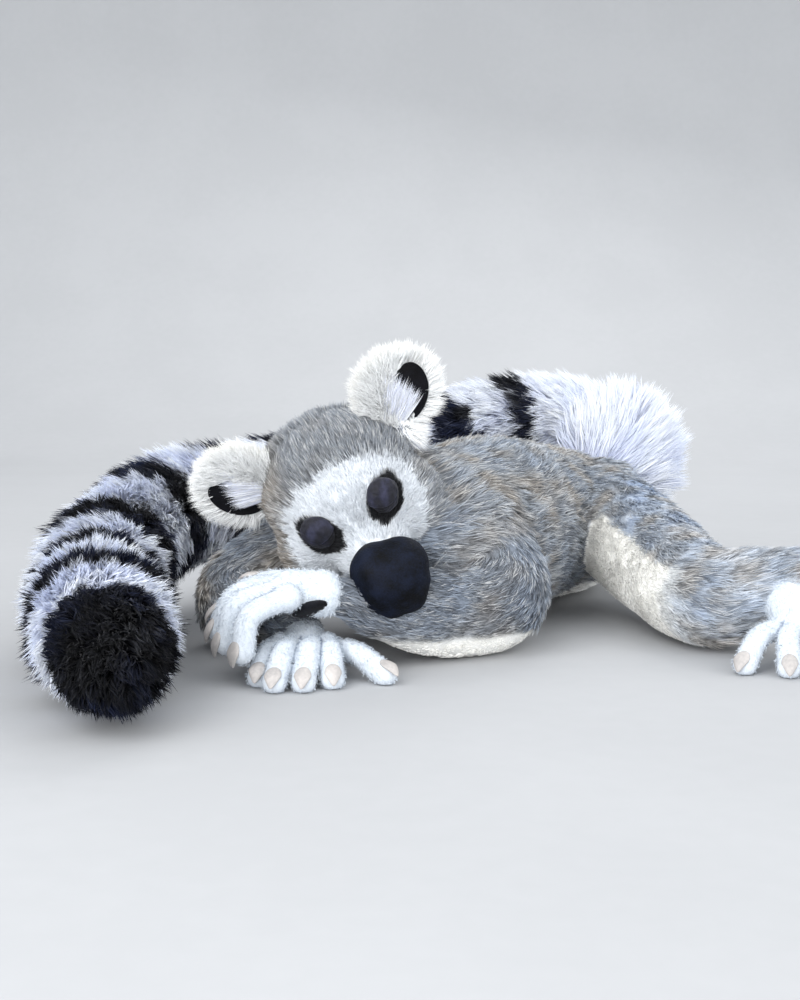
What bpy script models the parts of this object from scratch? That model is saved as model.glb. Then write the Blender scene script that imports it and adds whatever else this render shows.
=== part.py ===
"""A plush toy ring-tailed lemur, asleep on its belly with its chin on folded hands.

Metres, +Z up. The toy faces -Y with its head turned and tipped, its own left side is +X, and
it lies on z = 0. Every furry piece reaches out to the tips of its pile.
"""

import math

import bmesh
import bpy
import numpy as np
from mathutils import Matrix, Vector

# Fit between pieces.
GAP = 0.0003
WELD = 0.00001
GROWTH_LEAST = 0.6
FLOOR_DEPTH = 0.05
FLOOR_SPAN = 2.0

# Head: where its middle is, where the face looks and which way its crown points.
HEAD_CENTRE = (-0.036, -0.052, 0.106)
HEAD_FORWARD = (0.269, -0.851, -0.451)
HEAD_UP = (-0.425, -0.525, 0.738)

# Rounded shapes that make up the head: middle in the head's own frame, then half sizes.
HEAD_SHAPES = (
    ((0.0, -0.004, 0.006), (0.057, 0.052, 0.053)),
    ((0.029, 0.014, -0.015), (0.032, 0.036, 0.031)),
    ((-0.029, 0.014, -0.015), (0.032, 0.036, 0.031)),
    ((0.0, 0.029, 0.004), (0.042, 0.030, 0.037)),
    ((0.0, 0.047, -0.012), (0.027, 0.030, 0.026)),
)

# Muzzle cap, rolled a little on the face.
MUZZLE = (0.0248, 0.0240, 0.0248)
MUZZLE_SIDE = 0.002
MUZZLE_AHEAD = 0.081
MUZZLE_DROP = 0.016
MUZZLE_ROLL = math.radians(22.0)
MUZZLE_CHIN = 0.30
MUZZLE_CHIN_CURVE = 1.5
MUZZLE_SQUARE = 3.4

# Closed eyelids.
LID = (0.0112, 0.0080, 0.0126)
LID_SIDE = 0.0235
LID_AHEAD = 0.0485
LID_RISE = 0.0185
LID_TURN = math.radians(24.0)

# Ears: one leans up more than the other. Side, ahead, rise and lean for each.
EAR_LEFT = (0.0635, -0.019, 0.036, math.radians(58.0))
EAR_RIGHT = (-0.057, -0.017, 0.0355, math.radians(38.0))
EAR = (0.0365, 0.0330, 0.0145)
EAR_BACKWARD = -0.25
EAR_OUTWARD = 0.42
EAR_BOWL = (0.0175, 0.0220, 0.0150)
EAR_BOWL_AHEAD = 0.0105
EAR_LINING = 0.0030
EAR_ROOT = (0.019, 0.017)

# Body line: place and radius from the shoulders to the rump.
TRUNK = (
    ((0.020, -0.012, 0.065), 0.069),
    ((0.062, 0.066, 0.069), 0.073),
    ((0.102, 0.146, 0.064), 0.068),
    ((0.138, 0.202, 0.058), 0.064),
    ((0.158, 0.236, 0.060), 0.052),
)
NECK = (((-0.030, -0.030, 0.098), 0.050), ((0.026, 0.010, 0.080), 0.056))

# Limbs: place and radius of each joint.
ARM_LEFT = (
    ((0.046, -0.004, 0.080), 0.043),
    ((0.062, -0.048, 0.037), 0.041),
    ((0.014, -0.084, 0.031), 0.032),
    ((-0.034, -0.119, 0.048), 0.0175),
)
ARM_RIGHT = (
    ((-0.048, 0.012, 0.070), 0.042),
    ((-0.104, -0.032, 0.035), 0.038),
    ((-0.086, -0.068, 0.028), 0.030),
    ((-0.062, -0.098, 0.024), 0.017),
)
LEG_LEFT = (
    ((0.160, 0.165, 0.072), 0.047),
    ((0.184, 0.060, 0.050), 0.045),
    ((0.204, -0.030, 0.035), 0.039),
    ((0.234, -0.050, 0.042), 0.031),
    ((0.254, -0.060, 0.048), 0.027),
)
LEG_RIGHT = (
    ((0.118, 0.228, 0.064), 0.046),
    ((0.060, 0.272, 0.041), 0.043),
    ((0.036, 0.300, 0.034), 0.037),
    ((0.076, 0.326, 0.028), 0.030),
    ((0.100, 0.330, 0.030), 0.026),
)

# Hands and feet: heel of the hand, then each digit from its root to its tip, thumb last.
HAND_LEFT_PALM = (((-0.048, -0.124, 0.0510), 0.0140), ((-0.066, -0.129, 0.0535), 0.0130))
HAND_LEFT = (
    ((-0.070, -0.114, 0.0540), (-0.095, -0.113, 0.0520), (-0.1110, -0.116, 0.036)),
    ((-0.073, -0.124, 0.0560), (-0.100, -0.126, 0.0500), (-0.1105, -0.130, 0.029)),
    ((-0.072, -0.135, 0.0550), (-0.098, -0.140, 0.0465), (-0.1050, -0.144, 0.024)),
    ((-0.067, -0.144, 0.0520), (-0.089, -0.152, 0.0420), (-0.0940, -0.157, 0.021)),
    ((-0.060, -0.115, 0.0530), (-0.075, -0.104, 0.0560), (-0.0920, -0.101, 0.053)),
)
HAND_RIGHT_PALM = (((-0.060, -0.106, 0.0180), 0.0135), ((-0.058, -0.122, 0.0165), 0.0120))
HAND_RIGHT = (
    ((-0.074, -0.122, 0.0175), (-0.081, -0.138, 0.0160), (-0.0840, -0.155, 0.0058)),
    ((-0.065, -0.126, 0.0190), (-0.070, -0.147, 0.0190), (-0.0735, -0.170, 0.0058)),
    ((-0.054, -0.127, 0.0190), (-0.055, -0.147, 0.0195), (-0.0565, -0.169, 0.0058)),
    ((-0.045, -0.124, 0.0180), (-0.042, -0.142, 0.0175), (-0.0400, -0.160, 0.0058)),
    ((-0.045, -0.117, 0.0150), (-0.027, -0.131, 0.0150), (-0.0090, -0.149, 0.0060)),
)
FOOT_LEFT_PALM = (((0.254, -0.068, 0.0400), 0.0190), ((0.256, -0.088, 0.0260), 0.0150))
FOOT_LEFT = (
    ((0.243, -0.090, 0.0230), (0.226, -0.106, 0.0200), (0.2140, -0.121, 0.0057)),
    ((0.250, -0.096, 0.0220), (0.243, -0.112, 0.0200), (0.2390, -0.130, 0.0057)),
    ((0.260, -0.098, 0.0220), (0.262, -0.114, 0.0200), (0.2620, -0.133, 0.0057)),
    ((0.269, -0.094, 0.0220), (0.279, -0.108, 0.0200), (0.2840, -0.125, 0.0057)),
    ((0.266, -0.080, 0.0240), (0.284, -0.084, 0.0210), (0.3000, -0.090, 0.0058)),
)
FOOT_RIGHT_PALM = (((0.096, 0.345, 0.0240), 0.0170), ((0.088, 0.364, 0.0190), 0.0140))
FOOT_RIGHT = (
    ((0.100, 0.364, 0.0180), (0.110, 0.378, 0.0170), (0.1160, 0.396, 0.0057)),
    ((0.093, 0.370, 0.0180), (0.095, 0.386, 0.0175), (0.0960, 0.406, 0.0057)),
    ((0.084, 0.372, 0.0180), (0.078, 0.388, 0.0175), (0.0740, 0.405, 0.0057)),
    ((0.077, 0.368, 0.0180), (0.065, 0.380, 0.0170), (0.0540, 0.394, 0.0057)),
    ((0.076, 0.358, 0.0180), (0.062, 0.360, 0.0175), (0.0440, 0.362, 0.0058)),
)
LIMBS = (
    (ARM_LEFT, 1, "upper_arm_left", "forearm_left")
    + ("hand_left", HAND_LEFT_PALM, HAND_LEFT, (0.25, -0.35, -1.0), "palm_left"),
    (ARM_RIGHT, 1, "upper_arm_right", "forearm_right")
    + ("hand_right", HAND_RIGHT_PALM, HAND_RIGHT, (0.0, 0.0, -1.0), "palm_right"),
    (LEG_LEFT, 2, "thigh_left", "shank_left")
    + ("foot_left", FOOT_LEFT_PALM, FOOT_LEFT, (0.0, 0.3, -1.0), "sole_left"),
    (LEG_RIGHT, 2, "thigh_right", "shank_right")
    + ("foot_right", FOOT_RIGHT_PALM, FOOT_RIGHT, (0.0, 0.0, -1.0), "sole_right"),
)
DIGIT_ROOT = 0.0066
DIGIT_TIP = 0.0071
KNUCKLE = 0.00858

# Suede pad in each palm and sole: middle, half sizes and the way its face looks.
PAD_HALF = (0.0150, 0.0120, 0.0042)
PAD_SINK = 0.0105

# Nails: flat pointed ovals on the upper side of each tip.
NAIL = (0.0046, 0.0072, 0.0016)
NAIL_LIFT = 0.0056
NAIL_AHEAD = 0.0022
NAIL_POINT = 0.55
NAIL_DROOP = 0.00196

# Tail: the bushy root on the rump, then the line from there to its tip.
TAIL_ROOT = (((0.164, 0.212, 0.084), 0.046), ((0.192, 0.256, 0.115), 0.054))
TAIL = (
    ((0.184, 0.268, 0.122), 0.051),
    ((0.146, 0.290, 0.134), 0.050),
    ((0.092, 0.280, 0.134), 0.049),
    ((0.022, 0.246, 0.118), 0.049),
    ((-0.052, 0.198, 0.098), 0.048),
    ((-0.122, 0.136, 0.086), 0.048),
    ((-0.172, 0.062, 0.082), 0.048),
    ((-0.196, -0.020, 0.062), 0.048),
    ((-0.190, -0.104, 0.045), 0.048),
    ((-0.172, -0.184, 0.044), 0.047),
    ((-0.156, -0.240, 0.042), 0.045),
    ((-0.150, -0.264, 0.040), 0.029),
)
TAIL_PIECES = 8
TAIL_STEPS = 7
TAIL_SEAT = 0.010
LIMB_SEAT = 0.005

# How finely the fused pieces are made: cell, rounds of easing and triangles kept.
CELL_BODY = 0.0040
CELL_HEAD = 0.0030
CELL_SMALL = 0.0014
EASE_BODY = 8
EASE_HEAD = 6
EASE_SMALL = 4
EASE_TAIL = 3
HEAD_TRIANGLES = 420
EAR_TRIANGLES = 130
TRUNK_TRIANGLES = 300
LIMB_TRIANGLES = 120
HAND_TRIANGLES = 200
TAIL_TRIANGLES = 115
TUBE_SIDES = 16
TUBE_STEPS_EACH = 4
BALL_SIDES = 24
BALL_RINGS = 16
DIGIT_STEPS = 7
DIGIT_SIDES = 12
KNUCKLE_GRID = (12, 8)
TIP_GRID = (14, 10)
MUZZLE_GRID = (16, 8)
LID_GRID = (12, 8)
BOWL_GRID = (12, 8)
NAIL_GRID = (6, 3)
PAD_GRID = (10, 4)

# Surface colours and roughness.
GREY_PILE = (0.30, 0.28, 0.26)
PALE_PILE = (0.80, 0.80, 0.84)
WHITE_PLUSH = (0.84, 0.86, 0.88)
BLACK_SUEDE = (0.012, 0.013, 0.017)
LID_SUEDE = (0.030, 0.028, 0.036)
MUZZLE_LEATHER = (0.012, 0.015, 0.022)
NAIL_RESIN = (0.56, 0.49, 0.44)
PILE_ROUGH = 0.9
SUEDE_ROUGH = 0.8
LID_ROUGH = 0.7
MUZZLE_ROUGH = 0.5
NAIL_ROUGH = 0.45


def unit(v):
    """The vector at length one."""
    v = np.asarray(v, dtype=float)
    return v / np.linalg.norm(v)


def material(name, colour, roughness):
    """A plain Principled material of one colour."""
    made = bpy.data.materials.new(name)
    made.use_nodes = True
    shader = made.node_tree.nodes["Principled BSDF"]
    shader.inputs["Base Color"].default_value = (*colour, 1.0)
    shader.inputs["Roughness"].default_value = roughness
    return made


def object_from(name, bm):
    """A mesh object holding this bmesh."""
    mesh = bpy.data.meshes.new(name)
    bmesh.ops.recalc_face_normals(bm, faces=bm.faces)
    bm.to_mesh(mesh)
    bm.free()
    return bpy.data.objects.new(name, mesh)


def as_mesh(obj):
    """The same object with its modifiers or curve made into one real mesh."""
    bpy.context.scene.collection.objects.link(obj)
    graph = bpy.context.evaluated_depsgraph_get()
    mesh = bpy.data.meshes.new_from_object(obj.evaluated_get(graph))
    name, placed = obj.name, obj.matrix_world.copy()
    bpy.data.objects.remove(obj)
    made = bpy.data.objects.new(name, mesh)
    made.matrix_world = placed
    bm = bmesh.new()
    bm.from_mesh(mesh)
    bmesh.ops.remove_doubles(bm, verts=bm.verts, dist=WELD)
    bmesh.ops.triangulate(bm, faces=bm.faces)
    bmesh.ops.recalc_face_normals(bm, faces=bm.faces)
    bm.to_mesh(mesh)
    bm.free()
    return made


def axes_matrix(centre, side, ahead, rise):
    """A frame at this centre with the given axes as its columns."""
    frame = Matrix.Identity(4)
    for column, axis in enumerate((side, ahead, rise, centre)):
        for row in range(3):
            frame[row][column] = float(axis[row])
    return frame


def ball(centre, half, frame=None, sides=BALL_SIDES, rings=BALL_RINGS, name="ball"):
    """An ellipsoid with these half sizes, in the world or in a given frame."""
    bm = bmesh.new()
    bmesh.ops.create_uvsphere(bm, u_segments=sides, v_segments=rings, radius=1.0)
    bmesh.ops.transform(bm, matrix=Matrix.Diagonal((*half, 1.0)), verts=bm.verts)
    bmesh.ops.transform(bm, matrix=Matrix.Translation(Vector(centre)), verts=bm.verts)
    if frame is not None:
        bmesh.ops.transform(bm, matrix=frame, verts=bm.verts)
    return object_from(name, bm)


class Line:
    """A smooth line through a few places, with a radius along it."""

    def __init__(self, joints):
        self.places = np.array([place for place, _ in joints])
        self.radii = np.array([radius for _, radius in joints])
        self.slopes = np.gradient(self.places, axis=0)
        self.last = len(joints) - 1

    def at(self, t):
        """The place on the line at t joints from its start."""
        i = min(int(t), self.last - 1)
        u = t - i
        a, b = self.places[i], self.places[i + 1]
        p, q = self.slopes[i], self.slopes[i + 1]
        ends = (2 * u**3 - 3 * u**2 + 1) * a + (3 * u**2 - 2 * u**3) * b
        return ends + (u**3 - 2 * u**2 + u) * p + (u**3 - u**2) * q

    def slope(self, t):
        """How the place changes with t."""
        i = min(int(t), self.last - 1)
        u = t - i
        a, b = self.places[i], self.places[i + 1]
        p, q = self.slopes[i], self.slopes[i + 1]
        ends = (6 * u**2 - 6 * u) * (a - b)
        return ends + (3 * u**2 - 4 * u + 1) * p + (3 * u**2 - 2 * u) * q

    def radius(self, t):
        """The radius at t."""
        return float(np.interp(t, range(self.last + 1), self.radii))


def tube(line, start, end, knots, sides=TUBE_SIDES):
    """A closed tube along part of a line, its flat ends square to the line."""
    curve = bpy.data.curves.new("tube", "CURVE")
    curve.dimensions = "3D"
    curve.resolution_u = 2
    curve.bevel_depth = 1.0
    curve.bevel_resolution = (sides - 4) // 2
    curve.use_fill_caps = True
    spline = curve.splines.new("BEZIER")
    spline.bezier_points.add(knots - 1)
    reach = (end - start) / (knots - 1) / 3.0
    for knot, t in zip(spline.bezier_points, np.linspace(start, end, knots)):
        knot.handle_left_type = "FREE"
        knot.handle_right_type = "FREE"
        knot.co = line.at(t)
        knot.handle_left = line.at(t) - line.slope(t) * reach
        knot.handle_right = line.at(t) + line.slope(t) * reach
        knot.radius = line.radius(t)
    return as_mesh(bpy.data.objects.new("tube", curve))


def limb(joints, start=0, end=None):
    """Overlapping pieces for one stretch of a limb: its tube and a ball at each end.

    A stretch that begins part way along starts a little narrower, so that it fits in the
    rounded end before it.
    """
    line = Line(joints)
    end = line.last if end is None else end
    if start:
        line.radii[start] -= LIMB_SEAT
    steps = int((end - start) * TUBE_STEPS_EACH) + 1
    balls = [ball(line.at(t), [line.radius(t)] * 3) for t in (start, end)]
    return [tube(line, start, end, steps), *balls]


def joined(name, pieces):
    """One mesh object holding all the pieces, which are used up."""
    bm = bmesh.new()
    for piece in pieces:
        piece.data.transform(piece.matrix_world)
        bm.from_mesh(piece.data)
        bpy.data.objects.remove(piece)
    mesh = bpy.data.meshes.new(name)
    bm.to_mesh(mesh)
    bm.free()
    return bpy.data.objects.new(name, mesh)


def fused(name, pieces, cell, rounds, triangles):
    """The overlapping pieces as one closed body, eased and thinned to about this size."""
    whole = joined(name, pieces)
    remesh = whole.modifiers.new("Fuse", "REMESH")
    remesh.mode = "VOXEL"
    remesh.voxel_size = cell
    ease = whole.modifiers.new("Ease", "SMOOTH")
    ease.factor = 0.5
    ease.iterations = rounds
    whole = as_mesh(whole)
    count = sum(len(face.vertices) - 2 for face in whole.data.polygons)
    thin = whole.modifiers.new("Thin", "DECIMATE")
    thin.ratio = min(1.0, triangles / count)
    return as_mesh(whole)


def grown(obj, by):
    """A copy of the object with every face pushed out by at least this much."""
    copy = bpy.data.objects.new("grown", obj.data.copy())
    bm = bmesh.new()
    bm.from_mesh(copy.data)
    bm.normal_update()
    moves = []
    for vertex in bm.verts:
        steepest = min(vertex.normal.dot(face.normal) for face in vertex.link_faces)
        moves.append(vertex.normal * (by / max(steepest, GROWTH_LEAST)))
    for vertex, move in zip(bm.verts, moves):
        vertex.co += move
    bm.to_mesh(copy.data)
    bm.free()
    return copy


def largest(obj):
    """Keeps only the largest closed shell of the object."""
    bm = bmesh.new()
    bm.from_mesh(obj.data)
    left = set(bm.faces)
    shells = []
    while left:
        shell = [left.pop()]
        for face in shell:
            near = {other for edge in face.edges for other in edge.link_faces}
            fresh = near & left
            left -= fresh
            shell.extend(fresh)
        shells.append(shell)
    shells.sort(key=len)
    for shell in shells[:-1]:
        bmesh.ops.delete(bm, geom=shell, context="FACES")
    bm.to_mesh(obj.data)
    bm.free()
    return obj


def box(obj):
    """The lowest and highest corner of the object's mesh."""
    corners = np.array([v.co[:] for v in obj.data.vertices])
    return corners.min(axis=0), corners.max(axis=0)


def reaches(obj, other):
    """Whether the boxes of two objects come within a gap of each other."""
    (low, high), (other_low, other_high) = box(obj), box(other)
    return bool(np.all(low - GAP <= other_high) and np.all(other_low <= high + GAP))


def carved(obj, others, gap=GAP):
    """The object less each of the others grown by the gap."""
    for other in [other for other in others if reaches(obj, other)]:
        cutter = grown(other, gap)
        CUTTERS.objects.link(cutter)
        cut = obj.modifiers.new("Carve", "BOOLEAN")
        cut.operation = "DIFFERENCE"
        cut.solver = "EXACT"
        cut.object = cutter
        obj = largest(as_mesh(obj))
        bpy.data.objects.remove(cutter)
    return obj


def grounded(obj):
    """The object cut flat where it would pass below the floor."""
    bm = bmesh.new()
    bmesh.ops.create_cube(bm, size=1.0)
    size = Matrix.Diagonal((FLOOR_SPAN, FLOOR_SPAN, FLOOR_DEPTH, 1.0))
    bmesh.ops.transform(bm, matrix=size, verts=bm.verts)
    down = Matrix.Translation((0.0, 0.0, -FLOOR_DEPTH / 2))
    bmesh.ops.transform(bm, matrix=down, verts=bm.verts)
    return carved(obj, [object_from("floor", bm)], gap=0.0)


def head_axes():
    """Side, forward and up of the head, square to one another."""
    forward = unit(HEAD_FORWARD)
    up = np.asarray(HEAD_UP) - np.dot(HEAD_UP, forward) * forward
    up = unit(up)
    return np.cross(up, forward), forward, up


def head_frame():
    """The head's own frame: x to its left, y ahead, z to its crown."""
    side, forward, up = head_axes()
    return axes_matrix(HEAD_CENTRE, side, forward, up)


def head_solid():
    """Skull, cheeks, face and the root of the snout."""
    frame = head_frame()
    pieces = [ball(middle, half, frame) for middle, half in HEAD_SHAPES]
    return fused("head", pieces, CELL_HEAD, EASE_HEAD, HEAD_TRIANGLES)


def muzzle_solid():
    """A rounded block, squarer at its top edge and drawn in toward the chin."""
    bm = bmesh.new()
    sides, rings = MUZZLE_GRID
    bmesh.ops.create_uvsphere(bm, u_segments=sides, v_segments=rings, radius=1.0)
    for vertex in bm.verts:
        x, y, z = vertex.co
        reach = (abs(x) ** MUZZLE_SQUARE + abs(z) ** MUZZLE_SQUARE) ** (1 / MUZZLE_SQUARE)
        square = math.hypot(x, z) / (reach or 1.0)
        chin = 1.0 - MUZZLE_CHIN * max(0.0, -z) ** MUZZLE_CHIN_CURVE
        vertex.co = (x * square * chin, y, z * square)
    bmesh.ops.transform(bm, matrix=Matrix.Diagonal((*MUZZLE, 1.0)), verts=bm.verts)
    roll = Matrix.Rotation(MUZZLE_ROLL, 4, "Y")
    bmesh.ops.transform(bm, matrix=roll, verts=bm.verts)
    move = Matrix.Translation((MUZZLE_SIDE, MUZZLE_AHEAD, -MUZZLE_DROP))
    bmesh.ops.transform(bm, matrix=head_frame() @ move, verts=bm.verts)
    bmesh.ops.triangulate(bm, faces=bm.faces)
    return object_from("muzzle", bm)


def eyelid_solid(name, sign):
    """A domed closed lid."""
    turn = Matrix.Rotation(-sign * LID_TURN, 4, "Z")
    place = Matrix.Translation((sign * LID_SIDE, LID_AHEAD, LID_RISE))
    return ball((0.0, 0.0, 0.0), LID, head_frame() @ place @ turn, *LID_GRID, name)


def ear_frame(sign, ear):
    """An ear's own frame: x across, y out of its bowl, z from root to tip."""
    side, ahead, rise, lean = ear
    tip = unit((sign * math.cos(lean), EAR_BACKWARD, math.sin(lean)))
    out = np.array((sign * EAR_OUTWARD, 1.0, 0.0))
    out = unit(out - np.dot(out, tip) * tip)
    across = np.cross(out, tip)
    return head_frame() @ axes_matrix((side, ahead, rise), across, out, tip)


def ear_solids(sign, ear, side):
    """The furry cup of an ear before its bowl is cut, the bowl, and the suede lining."""
    frame = ear_frame(sign, ear)
    half = (EAR[0], EAR[2], EAR[1])
    width, deep = EAR_ROOT
    root = ball((0.0, 0.0, -EAR[1]), (width, EAR[2], deep), frame)
    pieces = [ball((0.0, 0.0, 0.0), half, frame), root]
    cup = fused(f"ear_{side}", pieces, CELL_SMALL, EASE_HEAD, EAR_TRIANGLES)
    bowl_half = (EAR_BOWL[0], EAR_BOWL[2], EAR_BOWL[1])
    bowl = ball((0.0, EAR_BOWL_AHEAD, 0.0), bowl_half, frame, *BOWL_GRID)
    inner = grown(bowl, 0.0)
    inner.data.transform(Matrix.Translation(frame.col[1].xyz * EAR_LINING))
    lining = carved(grown(bowl, -GAP), [inner], gap=0.0)
    lining.name = f"ear_lining_{side}"
    return cup, bowl, lining


def digit_tip_frame(line):
    """A frame at a digit's tip: y along the digit, z out of its back."""
    along = unit(line.slope(line.last))
    back = unit(np.array((0.0, 0.0, 1.0)) - along[2] * along)
    return axes_matrix(line.at(line.last), np.cross(along, back), along, back)


def nail_solid(name, line):
    """A flat oval drawn to a blunt point, on the back of a digit's tip."""
    bm = bmesh.new()
    sides, rings = NAIL_GRID
    bmesh.ops.create_uvsphere(bm, u_segments=sides, v_segments=rings, radius=1.0)
    bmesh.ops.transform(bm, matrix=Matrix.Diagonal((*NAIL, 1.0)), verts=bm.verts)
    for vertex in bm.verts:
        ahead = max(0.0, vertex.co.y / NAIL[1])
        vertex.co.x *= 1.0 - NAIL_POINT * ahead
        vertex.co.z -= NAIL_DROOP * ahead**2
    lift = Matrix.Translation((0.0, NAIL_AHEAD, NAIL_LIFT))
    bmesh.ops.transform(bm, matrix=digit_tip_frame(line) @ lift, verts=bm.verts)
    return object_from(name, bm)


def extremity(name, palm, digits, pad_way, pad_name):
    """A stuffed hand or foot with its nails and the suede pad of its palm."""
    lines = [Line(list(zip(digit, (DIGIT_ROOT, DIGIT_ROOT, DIGIT_TIP)))) for digit in digits]
    nails = [
        nail_solid(f"nail_{name}_{number}", line) for number, line in enumerate(lines, 1)
    ]
    heel, ball_of = palm
    pieces = limb(palm)
    for line in lines:
        pieces.append(tube(line, 0, line.last, DIGIT_STEPS, DIGIT_SIDES))
        pieces.append(ball(line.at(0), [KNUCKLE] * 3, None, *KNUCKLE_GRID))
        pieces.append(ball(line.at(line.last), [DIGIT_TIP] * 3, None, *TIP_GRID))
    solid = fused(name, pieces, CELL_SMALL, EASE_SMALL, HAND_TRIANGLES)
    middle = (np.array(heel[0]) + np.array(ball_of[0])) / 2
    down = unit(pad_way)
    ahead = np.array(ball_of[0]) - np.array(heel[0])
    ahead = unit(ahead - np.dot(ahead, down) * down)
    frame = axes_matrix(middle + down * PAD_SINK, np.cross(down, ahead), ahead, down)
    pad = ball((0.0, 0.0, 0.0), PAD_HALF, frame, *PAD_GRID)
    pad.name = pad_name
    return carved(solid, [pad, *nails]), pad, nails


def tail_wholes():
    """The tail's uncut pieces: a bushy root, then short thick tubes seated in one another."""
    line = Line(TAIL)
    marks = np.linspace(0.0, line.last, TAIL_PIECES)
    wholes = [fused("tail_1", limb(TAIL_ROOT), CELL_BODY, EASE_TAIL, TAIL_TRIANGLES)]
    for start, end in zip(marks[:-1], marks[1:]):
        seat = ball(line.at(start), [line.radius(start) - TAIL_SEAT] * 3)
        pieces = [tube(line, start, end, TAIL_STEPS), seat]
        if end == line.last:
            pieces.append(ball(line.at(end), [line.radius(end)] * 3))
        name = f"tail_{len(wholes) + 1}"
        wholes.append(fused(name, pieces, CELL_BODY, EASE_TAIL, TAIL_TRIANGLES))
    return wholes


def settle(solids):
    """Moves every solid so that the origin is under the middle of the whole toy."""
    boxes = np.array([box(solid) for solid in solids])
    low, high = boxes[:, 0].min(axis=0), boxes[:, 1].max(axis=0)
    shift = Matrix.Translation((-(low[0] + high[0]) / 2, -(low[1] + high[1]) / 2, -low[2]))
    for solid in solids:
        solid.data.transform(shift)


def dress(solid, surface):
    """Puts a solid into the toy with its own material."""
    solid.data.materials.clear()
    solid.data.materials.append(surface)
    for face in solid.data.polygons:
        face.use_smooth = True
    TOY.objects.link(solid)


def fitted(whole, made):
    """A piece cut to meet the uncut shapes made before it, which it then joins."""
    name = whole.name
    solid = grounded(carved(grown(whole, 0.0), made))
    whole.name = f"{name}_whole"
    solid.name = name
    made.append(whole)
    return solid


def build():
    """Makes every piece, the ones in front first, and puts them in the toy."""
    muzzle = muzzle_solid()
    lids = [eyelid_solid("eyelid_left", 1), eyelid_solid("eyelid_right", -1)]
    made = [muzzle, *lids]
    furry = [fitted(head_solid(), made)]
    linings = []
    for sign, ear, side in ((1, EAR_LEFT, "left"), (-1, EAR_RIGHT, "right")):
        cup, bowl, lining = ear_solids(sign, ear, side)
        linings.append(carved(lining, made))
        furry.append(carved(fitted(cup, made), [bowl], gap=0.0))
    for name, joints, triangles in (
        ("neck", NECK, LIMB_TRIANGLES),
        ("trunk", TRUNK, TRUNK_TRIANGLES),
    ):
        whole = fused(name, limb(joints), CELL_BODY, EASE_BODY, triangles)
        furry.append(fitted(whole, made))

    hands, pads, nails = [], [], []
    for joints, split, upper, lower, hand, palm, digits, way, pad in LIMBS:
        for name, start, end in ((upper, 0, split), (lower, split, len(joints) - 1)):
            pieces = limb(joints, start, end)
            whole = fused(name, pieces, CELL_BODY, EASE_BODY, LIMB_TRIANGLES)
            furry.append(fitted(whole, made))
        solid, suede, tips = extremity(hand, palm, digits, way, pad)
        hands.append(grounded(carved(solid, made)))
        pads.append(grounded(carved(suede, made)))
        nails.extend(tips)
    for whole in tail_wholes():
        furry.append(fitted(whole, made))
    settle([*furry, muzzle, *lids, *linings, *hands, *pads, *nails])

    for solid in furry:
        pile = PALE_PILE if solid.name.startswith(("ear", "tail")) else GREY_PILE
        dress(solid, material(f"{solid.name}_pile", pile, PILE_ROUGH))
    for solid in hands:
        dress(solid, material(f"{solid.name}_pile", WHITE_PLUSH, PILE_ROUGH))
    for solid in [*pads, *linings]:
        dress(solid, material(f"{solid.name}_suede", BLACK_SUEDE, SUEDE_ROUGH))
    for solid in lids:
        dress(solid, material(f"{solid.name}_suede", LID_SUEDE, LID_ROUGH))
    dress(muzzle, material("muzzle_leather", MUZZLE_LEATHER, MUZZLE_ROUGH))
    for solid in nails:
        dress(solid, material(f"{solid.name}_resin", NAIL_RESIN, NAIL_ROUGH))
    for spare in [obj for obj in bpy.data.objects if obj.name not in TOY.objects]:
        bpy.data.objects.remove(spare)


for leftover in list(bpy.data.objects):
    bpy.data.objects.remove(leftover)

TOY = bpy.data.collections.new("plush_lemur")
CUTTERS = bpy.data.collections.new("cutters")
bpy.context.scene.collection.children.link(TOY)
bpy.context.scene.collection.children.link(CUTTERS)
CUTTERS.hide_render = True
build()
bpy.data.collections.remove(CUTTERS)
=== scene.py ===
import math
from typing import NamedTuple

import bmesh
import bpy
import numpy as np
from mathutils import Matrix, Vector


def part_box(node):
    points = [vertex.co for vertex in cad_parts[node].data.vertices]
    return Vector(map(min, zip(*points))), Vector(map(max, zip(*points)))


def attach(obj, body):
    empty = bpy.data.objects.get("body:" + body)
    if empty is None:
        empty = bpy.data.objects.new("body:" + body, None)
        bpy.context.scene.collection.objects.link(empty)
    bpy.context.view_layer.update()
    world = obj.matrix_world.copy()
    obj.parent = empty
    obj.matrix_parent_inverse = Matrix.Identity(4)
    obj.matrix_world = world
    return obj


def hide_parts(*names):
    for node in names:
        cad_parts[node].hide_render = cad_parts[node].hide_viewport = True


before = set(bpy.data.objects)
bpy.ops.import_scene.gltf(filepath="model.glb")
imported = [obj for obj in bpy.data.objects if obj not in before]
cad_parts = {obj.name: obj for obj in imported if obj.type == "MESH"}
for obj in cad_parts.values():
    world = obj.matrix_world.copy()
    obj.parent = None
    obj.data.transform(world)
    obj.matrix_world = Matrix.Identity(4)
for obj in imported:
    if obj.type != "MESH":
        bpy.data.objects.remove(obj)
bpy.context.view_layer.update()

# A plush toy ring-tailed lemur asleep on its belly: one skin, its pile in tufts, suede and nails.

SEED = 41

# Camera: from the head's centre to the lens, its pitch below level and its focal length.
CAMERA_FROM_HEAD = (0.036, -0.948, 0.088)
CAMERA_PITCH = math.radians(5.55)
CAMERA_LENS = 51.84

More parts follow.
